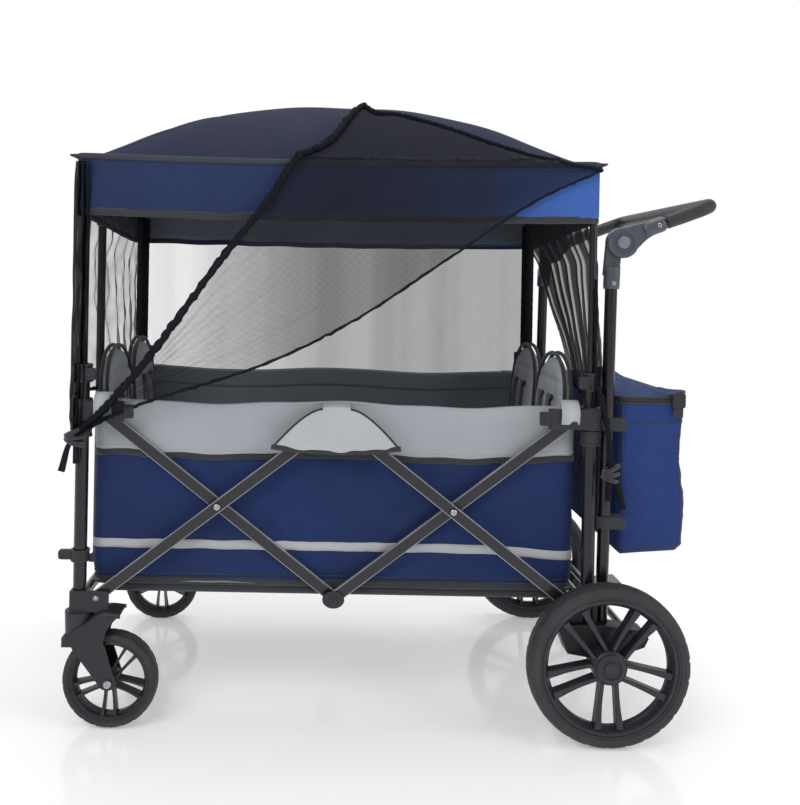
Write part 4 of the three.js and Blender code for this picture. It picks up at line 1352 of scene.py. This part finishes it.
def harness(node, mid_x, mid_y, face_in, thick, top, body):
    """Shoulder straps through two slots, and one buckle."""
    face = mid_x + face_in * (thick / 2 - 0.0052)
    for label, y in (("left", -0.036), ("right", 0.036)):
        slot_outline = rounded(mid_y + y - 0.017, mid_y + y + 0.017, top - 0.088, top - 0.080, 0.003)
        levels = (face - face_in * 0.004, face + face_in * 0.0012)
        plate(f"{node}_slot_{label}", slot_outline, levels, "dark_fabric", body, 0.0005, plane="yz")
        path = []
        for k in range(22):
            s = k / 21
            z = top - 0.084 - 0.150 * s
            path.append((face + face_in * (0.0015 + 0.006 * math.sin(math.pi * s)),
                         mid_y + y * (1 - 0.55 * ease(0.3, 1.0, s)), z))
        strap(f"{node}_strap_{label}", path, 0.022, body, (0, 1, 0))
    buckle_outline = rounded(mid_y - 0.019, mid_y + 0.019, top - 0.262, top - 0.226, 0.008)
    levels = (face + face_in * 0.004, face + face_in * 0.0135)
    plate(f"{node}_buckle", buckle_outline, levels, "black_plastic", body, 0.003, plane="yz")


def benches():
    """Two inflated bench cushions with a parting seam and piping."""
    for end in ("front", "rear"):
        node = f"{end}_bench_cushion"
        low, high = box(node)
        swell = 0.006
        ring = rounded(low.y + swell, high.y - swell, low.z + swell, high.z - swell, 0.012, 4)
        block = slab(ring, low.x + swell, high.x - swell, 9)
        points, quads = inflate(node + "_form", *block, swell, voxel=0.0065)
        mid = (low + high) / 2
        shaped = []
        for x, y, z in points:
            # A sewn line parts the two places, and each has a tufted cross seam.
            groove = math.exp(-(y / 0.007) ** 2) + 0.7 * math.exp(-((x - mid.x) / 0.006) ** 2)
            side = 1 if z > mid.z else -0.4
            shaped.append((x, y, z - side * 0.004 * groove))
        made = piece(node + "_pad", shaped, quads, "grey_fabric", f"{end}_bench", 80)
        modifier(made, "SUBSURF", levels=1, render_levels=1)
        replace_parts(made, node)
        ring_path = Ring(low.x + 0.002, high.x - 0.002, low.y + 0.002, high.y - 0.002, 0.014)
        for label, z in (("upper", high.z - 0.009), ("lower", low.z + 0.009)):
            tube(f"{node}_piping_{label}", ring_path.path(lambda x, y: z, 180), 0.0032, "dark_fabric",
                 f"{end}_bench", 8, closed=True)


seat_backs()
benches()


# Storage bag ---------------------------------------------------------------------------------

bag_wave = ripples(61, 9, 0.8, 3.2)
bag_fine = ripples(62, 9, 3.0, 8.0)
ZIP_Z = LID_LOW.z + 0.002
TAB_RADIUS = 0.0145               # of the webbing round a handle tube


def bag_point(ring, u, v, out=0.0):
    """The bag hangs from its top edge: its sides hollow a little, and its floor sags and rounds."""
    x, y, nx, ny = ring.at(u)
    share_x = (x - BAG_LOW.x) / (BAG_HIGH.x - BAG_LOW.x)
    bottom = BAG_LOW.z + 0.010 * share_x
    z = bottom + (BAG_HIGH.z - bottom) * v
    waist = -0.0055 * math.sin(math.pi * ease(0.35, 1.0, v)) * (0.3 + 0.7 * share_x)
    belly = 0.0035 * math.sin(math.pi * ease(0.0, 0.55, v))
    crease = 0.0032 * bag_wave(u * 5 + v * 1.6, v * 1.8) + 0.0016 * bag_fine(u * 6 - v * 3, v * 2)
    foot = -0.010 * ease(0.05, 0.0, v) ** 2
    push = waist + belly + crease * math.sin(math.pi * min(1.0, v * 1.02)) + foot + out
    return x + nx * push, y + ny * push, z


def storage_bag():
    """The bag's sides and base, its seams, and the tabs that hold it to the handle tubes."""
    ring = Ring(BAG_LOW.x + 0.002, BAG_HIGH.x - 0.004, BAG_LOW.y + 0.004, BAG_HIGH.y - 0.004, 0.016)
    made = sheet("storage_bag_sides", lambda u, v: bag_point(ring, u, v), 360, 60, "bag_fabric",
                 "rear_frame", 0.0018, wrap=True)
    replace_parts(made, "storage_bag")

    def bottom(u, v):
        x = BAG_LOW.x + 0.012 + (BAG_HIGH.x - BAG_LOW.x - 0.026) * u
        y = (BAG_HIGH.y - 0.012) * (2 * v - 1)
        sag = 0.005 * math.sin(math.pi * u) * math.sin(math.pi * v)
        return x, y, BAG_LOW.z + 0.001 + 0.010 * u - sag
    sheet("storage_bag_base", bottom, 24, 60, "bag_fabric", "rear_frame", 0.0018)
    for label, share, out, radius, sides in (("top_binding", 0.996, 0.0008, 0.0038, 10),
                                             ("seam_upper", 0.865, 0.0012, 0.0009, 6),
                                             ("seam_foot", 0.045, 0.0010, 0.0010, 6)):
        level = [bag_point(ring, k / 360, share, out) for k in range(360)]
        tube(f"storage_bag_{label}", level, radius, "dark_fabric", "rear_frame", sides, closed=True)
    for side, sign in SIDES:
        for label, x in (("front", BAG_LOW.x + 0.010), ("rear", BAG_HIGH.x - 0.012)):
            place = min((k / 1440 for k in range(1440)),
                        key=lambda u: math.dist(ring.at(u)[:2], (x, sign * (BAG_HIGH.y - 0.004))))
            path = [bag_point(ring, place, v, 0.0010) for v in np.linspace(0.04, 0.985, 30)]
            tube(f"storage_bag_seam_{label}_{side}", path, 0.0011, "dark_fabric", "rear_frame", 6)
        # Webbing tabs hold the bag to the push handle tubes.
        for label, z in (("upper", 0.585), ("lower", 0.40)):
            tube_x = 0.509 + (z - 0.185) * 0.0132
            tube_y = sign * HANDLE_Y
            path = [(BAG_LOW.x + 0.006, tube_y + TAB_RADIUS, z)]
            for a in np.linspace(0.5 * math.pi, 1.5 * math.pi, 26):
                path.append((tube_x + TAB_RADIUS * math.cos(a), tube_y + TAB_RADIUS * math.sin(a), z))
            path.append((BAG_LOW.x + 0.006, tube_y - TAB_RADIUS, z))
            strap(f"storage_bag_tab_{label}_{side}", path, 0.022, "rear_frame", (0, 0, 1))


def bag_lid():
    """The puckered cloth lid and its zip, which swing up, and the corner buckles that don't."""
    puckers = ripples(63, 9, 1.2, 4.0)
    ring = Ring(LID_LOW.x + 0.001, LID_HIGH.x - 0.003, LID_LOW.y + 0.002, LID_HIGH.y - 0.002, 0.016)
    mid_x = (LID_LOW.x + LID_HIGH.x) / 2

    def top(u, v):
        x, y, _, _ = ring.at(u)
        s = 1 - v
        px, py = mid_x + (x - mid_x) * s, y * s
        share = (px - LID_LOW.x) / (LID_HIGH.x - LID_LOW.x)
        dome_up = 0.010 * (1 - s ** 3)
        corner = 0.012 * ease(0.5, 1.0, share) * ease(0.45, 1.0, abs(py) / LID_HIGH.y)
        sag = -0.006 * math.sin(math.pi * share) * math.cos(py * 9)
        ruck = 0.0045 * puckers(share * 1.4, py * 5) * ease(0.0, 0.12, v)
        return px, py, LID_LOW.z + 0.0075 + dome_up + corner + sag * (1 - s) + ruck
    made = sheet("storage_bag_lid_cloth", top, 280, 34, "bag_fabric", "bag_lid", 0.0016, wrap=True)
    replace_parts(made, "storage_bag_lid")

    def skirt(u, v):
        x, y, nx, ny = ring.at(u)
        low = LID_LOW.z + 0.0008
        out = 0.001 * math.sin(math.pi * v)
        return x + nx * out, y + ny * out, low + (top(u, 0.0)[2] - low) * v
    sheet("storage_bag_lid_edge", skirt, 280, 5, "dark_fabric", "bag_lid", 0.0018, wrap=True)
    piping = [top(k / 280, 0.0) for k in range(280)]
    tube("storage_bag_lid_piping", piping, 0.0036, "dark_fabric", "bag_lid", 10, closed=True)
    teeth = []
    for k in range(280):
        x, y, nx, ny = ring.at(k / 280)
        teeth.append((x + nx * 0.0022, y + ny * 0.0022, ZIP_Z + 0.0012))
    tube("storage_bag_zip", teeth, lambda s: 0.0021 * (1 + 0.35 * math.sin(TAU * 139 * s)),
         "black_plastic", "bag_lid", 8, closed=True)
    for side, sign in SIDES:
        x, y = LID_HIGH.x - 0.020, sign * (LID_HIGH.y + 0.004)
        outline = rounded(x - 0.013, x + 0.013, ZIP_Z - 0.012, ZIP_Z + 0.016, 0.004)
        plate(f"storage_bag_buckle_{side}", outline, (y - 0.004, y + 0.004), "black_plastic",
              "rear_frame", 0.002)
        path = [(x, y + sign * 0.0002, ZIP_Z + 0.014 - 0.044 * s) for s in np.linspace(0, 1, 12)]
        strap(f"storage_bag_buckle_strap_{side}", path, 0.018, "rear_frame", (1, 0, 0))


storage_bag()
bag_lid()


# Push handle ---------------------------------------------------------------------------------

HANDLE_SLOPE = math.radians(21)
HANDLE_REACH = 0.203
ARM_OFFSET = 0.008                # the arms' line stands above the hinge's middle
SLEEVE_LOW = Vector((0.5178, 0, 0.842))      # the sleeve's ends on the handle tube
SLEEVE_HIGH = Vector((0.5190, 0, 0.884))


def along_handle(distance, y):
    """A place on the arms' line, so far up it from the hinge."""
    c, s = math.cos(HANDLE_SLOPE), math.sin(HANDLE_SLOPE)
    return Vector((HANDLE_HINGE.x + c * distance - s * ARM_OFFSET, y,
                   HANDLE_HINGE.z + s * distance + c * ARM_OFFSET))


def tapered_neck(name, levels, length, root_half, tip_half):
    """A flat arm that narrows from a hinge disc to its tube, with a softened edge."""
    d = Vector((math.cos(HANDLE_SLOPE), 0, math.sin(HANDLE_SLOPE)))
    up = Vector((-d.z, 0, d.x))
    points = []
    steps = 12
    for way in (1, -1):
        row = []
        for k in range(steps + 1):
            s = k / steps
            half = root_half + (tip_half - root_half) * ease(0.0, 1.0, s)
            p = HANDLE_HINGE + d * (length * s) + up * (way * half + ARM_OFFSET * ease(0, 1, s))
            row.append((p.x, p.z))
        points += row if way == 1 else row[::-1]
    return plate(name, points, levels, "grey_plastic", "push_handle", 0.0024)


def mirrored(points):
    """The same points on the other side, in reverse, so that they carry a path on."""
    return [Vector((p.x, -p.y, p.z)) for p in reversed(points)]


def push_handle():
    """The U-shaped bar: outer hinge discs with caps, sleeves, tubes and a ribbed foam grip."""
    corner = 0.034
    reach = HANDLE_REACH - 0.013
    straight = reach - corner
    bend = []
    for a in np.linspace(0, math.pi / 2, 13):
        bend.append(along_handle(straight + corner * math.sin(a),
                                 -HANDLE_Y + corner * (1 - math.cos(a))))
    path = [along_handle(d, -HANDLE_Y) for d in np.linspace(0.060, straight, 10)] + bend[1:]
    whole = path + mirrored(path)
    bar = tube("push_handle_tube", whole, 0.0115, "black_frame", "push_handle", 20)
    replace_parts(bar, "push_handle_bar")

    half_grip = [along_handle(d, -HANDLE_Y) for d in np.linspace(0.092, straight, 9)[:-1]] + bend
    half_grip += [along_handle(reach, y) for y in np.linspace(corner - HANDLE_Y, 0, 13)[1:-1]]
    grip = half_grip + mirrored(half_grip)
    fine = [Vector(spline(grip, t)) for t in np.linspace(0, 1, 300)]

    def grip_radius(share):
        end = min(share, 1 - share)
        rings = 0.0008 * (math.sin(TAU * end * 300) > 0.2) if end < 0.022 else 0.0
        return 0.0132 + rings + 0.0006 * ease(0.022, 0.06, end) - 0.0014 * ease(0.004, 0.0, end)
    tube("push_handle_grip", fine, grip_radius, "grip", "push_handle", 24)

    for side, sign in SIDES:
        inner, outer = sign * (HANDLE_Y + 0.0004), sign * (HANDLE_Y + 0.0110)
        disc = [(0.0005, inner), (0.0284, inner), (0.0292, inner + sign * 0.0012),
                (0.0292, outer - sign * 0.0020), (0.0274, outer), (0.0205, outer),
                (0.0195, outer - sign * 0.0014), (0.0150, outer - sign * 0.0014),
                (0.0142, outer), (0.0005, outer)]
        centre = (HANDLE_HINGE.x, 0, HANDLE_HINGE.z)
        lathe(f"push_handle_disc_{side}", disc, centre, "grey_plastic", "push_handle", 64)
        cap = [(0.0005, outer - sign * 0.001), (0.0118, outer - sign * 0.001),
               (0.0118, outer + sign * 0.0030), (0.0104, outer + sign * 0.0046),
               (0.0005, outer + sign * 0.0050)]
        lathe(f"push_handle_cap_{side}", cap, centre, "cap_plastic", "push_handle", 40)
        tapered_neck(f"push_handle_neck_{side}", (inner, outer - sign * 0.0026), 0.060, 0.0262, 0.0148)
        sleeve = [along_handle(0.046 + 0.040 * k / 10, sign * HANDLE_Y) for k in range(11)]
        tube(f"push_handle_sleeve_{side}", sleeve,
             lambda t: 0.0150 - 0.0016 * ease(0.10, 0.0, t) - 0.0012 * ease(0.92, 1.0, t),
             "grey_plastic", "push_handle", 28)
        head = along_handle(0.074, sign * (HANDLE_Y + 0.0142))
        screw(f"push_handle_screw_{side}", head, sign, "push_handle")
        # The lower half hangs on the tube: a taper over the tube head, its sleeve and screw.
        aside = Vector((0, sign * HANDLE_Y, 0))
        lower = [SLEEVE_LOW + (SLEEVE_HIGH - SLEEVE_LOW) * k / 8 + aside for k in range(9)]
        tube(f"handle_sleeve_{side}", lower, lambda t: 0.0152 - 0.0014 * ease(0.12, 0.0, t),
             "grey_plastic", "rear_frame", 28)
        head = (SLEEVE_LOW.x + 0.0003, sign * (HANDLE_Y + 0.0146), 0.853)
        screw(f"handle_screw_{side}", head, sign, "rear_frame")


def screw(name, place, sign, body, radius=0.0042):
    """A button-head screw with a recessed drive."""
    profile = [(0.0004, -0.002 * sign), (radius, -0.002 * sign), (radius, 0.0004 * sign),
               (radius * 0.72, 0.0017 * sign), (radius * 0.45, 0.0019 * sign),
               (radius * 0.40, 0.0006 * sign), (0.0004, 0.0006 * sign)]
    return lathe(name, profile, place, "steel", body, 24)


# Fittings ------------------------------------------------------------------------------------

BOLT_FACE = 0.2982                # the arms' outer face at the posts, from the middle
STOP_Z = (0.546, 0.573)           # the ring under each slider
CLAMP_Z = (0.311, 0.333)          # the clamp low on each front post
LOOP_PLACE = (0.2810, 0.604)      # the rim loops' middle, as Y and height


def rivet(name, x, z, y, sign, body, radius=0.0060, mat="steel"):
    """A pivot rivet: washer, domed head and a ring round its edge."""
    washer = [(0.0005, 0), (radius * 1.28, 0), (radius * 1.28, sign * 0.0009),
              (radius * 0.98, sign * 0.0012), (radius * 0.96, sign * 0.0022),
              (radius * 0.74, sign * 0.0033), (radius * 0.40, sign * 0.0037),
              (radius * 0.34, sign * 0.0026), (0.0005, sign * 0.0026)]
    return lathe(name, washer, (x, y, z), mat, body, 32)


def scissor_fittings():
    """The rivets where the arms cross, and the knuckle on the middle bottom pivot."""
    cross = joint_place("rear_cross_pivot")
    lift = 0.0002
    near_pivot = [v.co.y for v in nodes["rear_inner_arm_right"].data.vertices
                  if math.hypot(v.co.x - LAYOUT.x, v.co.z - PIVOT_LOW_Z) < 0.02]
    for side, sign in SIDES:
        for end, way in (("front", -1), ("rear", 1)):
            face = sign * (box(f"{end}_outer_arm_right")[1].y + lift)
            rivet(f"cross_rivet_{end}_{side}", way * abs(cross.x), cross.z, face, sign,
                  f"{end}_outer_arms")
        # The middle bottom pivot: a moulded knuckle over the inner arms, with its bolt.
        face = sign * (max(near_pivot) + lift)
        top = face + sign * 0.0045
        knuckle = circle(24, 0.021, 0.0165, (0, PIVOT_LOW_Z - 0.001))
        plate(f"knuckle_{side}", knuckle, (face, top), "black_plastic", "rear_inner_arms", 0.0018)
        rivet(f"knuckle_bolt_{side}", 0, PIVOT_LOW_Z, top, sign, "rear_inner_arms", 0.0062,
              "black_plastic")


def ring_clip(name, x, y, z0, z1, radius, body, mat="black_plastic"):
    """A moulded ring round a post, with a lip at each end."""
    profile = [(radius - 0.0030, z0), (radius + 0.0006, z0), (radius + 0.0010, z0 + 0.0015),
               (radius + 0.0010, z0 + 0.0040), (radius, z0 + 0.0050), (radius, z1 - 0.0050),
               (radius + 0.0010, z1 - 0.0040), (radius + 0.0010, z1 - 0.0015),
               (radius + 0.0006, z1), (radius - 0.0030, z1)]
    lathe(name, profile, (x, y, 0), mat, body, 40, axis="z")


def post_fittings():
    """Pole locks at the post tops, stop rings, clamps, slider rivets, and rim loops with their blocks.
    """
    for side, sign in SIDES:
        y = sign * POST.y
        for end, x, way in (("front", FRONT_POST_X, -1), ("rear", POST.x, 1)):
            frame_body = f"{end}_frame"
            slide_body = f"{end}_sliders"
            tag = f"{end}_{side}"
            ring_clip(f"pole_lock_{tag}", x, y, POST_TOP - 0.034, POST_TOP, 0.0168, frame_body)
            lever = rounded(x - way * 0.016 - 0.011, x - way * 0.016 + 0.011, POST_TOP - 0.030,
                            POST_TOP - 0.006, 0.005)
            plate(f"pole_lock_lever_{tag}", lever, (y + sign * 0.010, y + sign * 0.0185),
                  "black_plastic", frame_body, 0.002)
            ring_clip(f"post_stop_{tag}", x, y, *STOP_Z, 0.0176, slide_body)
            if end == "front":
                ring_clip(f"post_clamp_{tag}", x, y, *CLAMP_Z, 0.0170, frame_body)
                hook = rounded(x - 0.041, x - 0.010, CLAMP_Z[0] + 0.002, CLAMP_Z[1] - 0.002, 0.005)
                plate(f"post_clamp_hook_{tag}", hook, (y - 0.007, y + 0.007), "black_plastic",
                      frame_body, 0.0025)
            rivet(f"slider_rivet_{tag}", way * PIVOT_X, SLIDER_Z, sign * BOLT_FACE, sign, slide_body,
                  0.0064, "black_plastic")
            rim_loop(tag, x, way, sign, slide_body)


def rim_loop(tag, x, way, sign, body):
    """The grey loop and block that hold the basket's rim to the slider."""
    face = sign * (BOLT_FACE + 0.0002)
    centre = x - way * 0.042
    half = 0.017
    count = 40
    path = circle(count, 0.0208, 0.0250, LOOP_PLACE)
    verts = [(centre + dx, sign * y, z) for y, z in path for dx in (-half, half)]
    faces = []
    for k in range(count):
        m = (k + 1) % count
        faces.append((k * 2, m * 2, m * 2 + 1, k * 2 + 1))
    loop = piece(f"rim_loop_{tag}", verts, faces, "flap_fabric", body, 60)
    modifier(loop, "SOLIDIFY", thickness=0.0018, offset=1.0)
    block_x = x - way * 0.091
    outline = rounded(block_x - 0.0095, block_x + 0.0095, 0.5845, 0.6105, 0.0035)
    plate(f"rim_block_{tag}", outline, (face, face + sign * 0.0085), "black_plastic", body, 0.002)
    for index in range(3):
        rib_x = block_x - 0.005 + 0.005 * index
        rib = rounded(rib_x - 0.0010, rib_x + 0.0010, 0.5885, 0.6065, 0.0008, 3)
        plate(f"rim_block_rib_{index}_{tag}", rib, (face + sign * 0.008, face + sign * 0.0095),
              "black_plastic", body, 0.0004)


def wheel_fittings():
    """Caster axle bolts and collars, and the bolts of the lower arm pivots."""
    for side, sign in SIDES:
        centre = centre_of(f"front_{side}_tyre")
        fork_face = box(f"caster_fork_{side}")[1 if sign > 0 else 0].y
        place = (centre.x, fork_face, centre.z)
        lathe(f"caster_bolt_{side}", [(0.0005, 0), (0.0078, 0), (0.0078, sign * 0.0018),
                                      (0.0060, sign * 0.0040), (0.0030, sign * 0.0046),
                                      (0.0026, sign * 0.0030), (0.0005, sign * 0.0030)],
              place, "steel", f"caster_{side}", 32)
        ring_clip(f"caster_collar_{side}", FRONT_POST_X, sign * POST.y, 0.168, 0.1738, 0.0205,
                  f"caster_{side}", "steel")
        for end, x, face in (("front", -PIVOT_X, BOLT_FACE), ("rear", PIVOT_X, BOLT_FACE + 0.001)):
            rivet(f"{end}_pivot_bolt_{side}", x, PIVOT_LOW_Z, sign * face, sign, f"{end}_frame", 0.0042)


push_handle()
scissor_fittings()
post_fittings()
wheel_fittings()


# Stage ---------------------------------------------------------------------------------------

def floor():
    """A pale floor that curves up into a backdrop."""
    half, back, rise = 9.0, 7.0, 4.0
    profile = [(-half, 0.0), (back, 0.0)]
    curve = 2.0
    profile += [(back + curve * math.sin(a), curve - curve * math.cos(a))
                for a in np.linspace(0.1, math.pi / 2, 10)]
    profile.append((back + curve, curve + rise))
    verts = [(x, y, z) for x in (-half, half) for y, z in profile]
    count = len(profile)
    faces = [(j, j + 1, count + j + 1, count + j) for j in range(count - 1)]
    mesh = bpy.data.meshes.new("floor")
    mesh.from_pydata(verts, [], faces)
    obj = bpy.data.objects.new("floor", mesh)
    bpy.context.scene.collection.objects.link(obj)
    obj.location = LAYOUT
    n = Nodes("floor")
    gloss = n.ramp(n.noise(1.5, 2.0), 0.3, 0.7, 0.10, 0.14)
    pale = n.principled({
        "Base Color": (0.86, 0.86, 0.87), "Roughness": gloss, "Specular IOR Level": 0.3,
        "Emission Color": (1.0, 1.0, 1.0), "Emission Strength": 0.30,
    })
    # Away from the wagon the floor turns into the same white as the backdrop.
    white = n.add("ShaderNodeEmission").outputs[0]
    reach = n.add("ShaderNodeVectorMath", {0: n.coordinates()}, operation="LENGTH")
    mesh.materials.append(n.finish(n.mix_shader(n.ramp(reach.outputs["Value"], 0.75, 1.9), pale, white)))
    shade_by_angle(mesh, 60)


def light(name, place, target, size, power):
    """A rectangular soft light aimed at a target."""
    data = bpy.data.lights.new(name, "AREA")
    data.shape = "RECTANGLE"
    data.size, data.size_y = size
    data.energy = power
    obj = bpy.data.objects.new(name, data)
    bpy.context.scene.collection.objects.link(obj)
    obj.location = Vector(place) + LAYOUT
    obj.rotation_euler = (Vector(target) - Vector(place)).to_track_quat("-Z", "Y").to_euler()


def studio():
    """White surroundings, bright to the camera and dimmer as light, and three soft lights."""
    world = bpy.data.worlds.new("studio")
    bpy.context.scene.world = world
    world.use_nodes = True
    tree = world.node_tree
    background = tree.nodes["Background"]
    seen = tree.nodes.new("ShaderNodeLightPath")
    strength = tree.nodes.new("ShaderNodeMapRange")
    strength.inputs["To Min"].default_value = 0.42
    tree.links.new(seen.outputs["Is Camera Ray"], strength.inputs["Value"])
    tree.links.new(strength.outputs["Result"], background.inputs["Strength"])
    background.inputs["Color"].default_value = (1, 1, 1, 1)
    middle = (0, 0, 0.6)
    light("key", (-1.6, -3.2, 3.2), middle, (2.4, 1.8), 62)
    light("fill", (3.4, -2.2, 1.9), middle, (2.0, 2.0), 34)
    light("top", (0.2, 0.4, 3.6), middle, (2.6, 2.0), 46)
    bpy.context.scene.view_settings.view_transform = "Standard"


def camera():
    """At canopy height beside the wagon, square to its left side, with a shifted lens."""
    data = bpy.data.cameras.new("camera")
    data.lens = 41.36
    data.shift_x = 0.0955
    data.shift_y = -0.154
    obj = bpy.data.objects.new("camera", data)
    bpy.context.scene.collection.objects.link(obj)
    obj.location = Vector((-0.030, -2.030, 0.852)) + LAYOUT
    lean = -0.018
    obj.rotation_euler = (math.pi / 2, lean, 0)
    bpy.context.scene.camera = obj


floor()
studio()
camera()
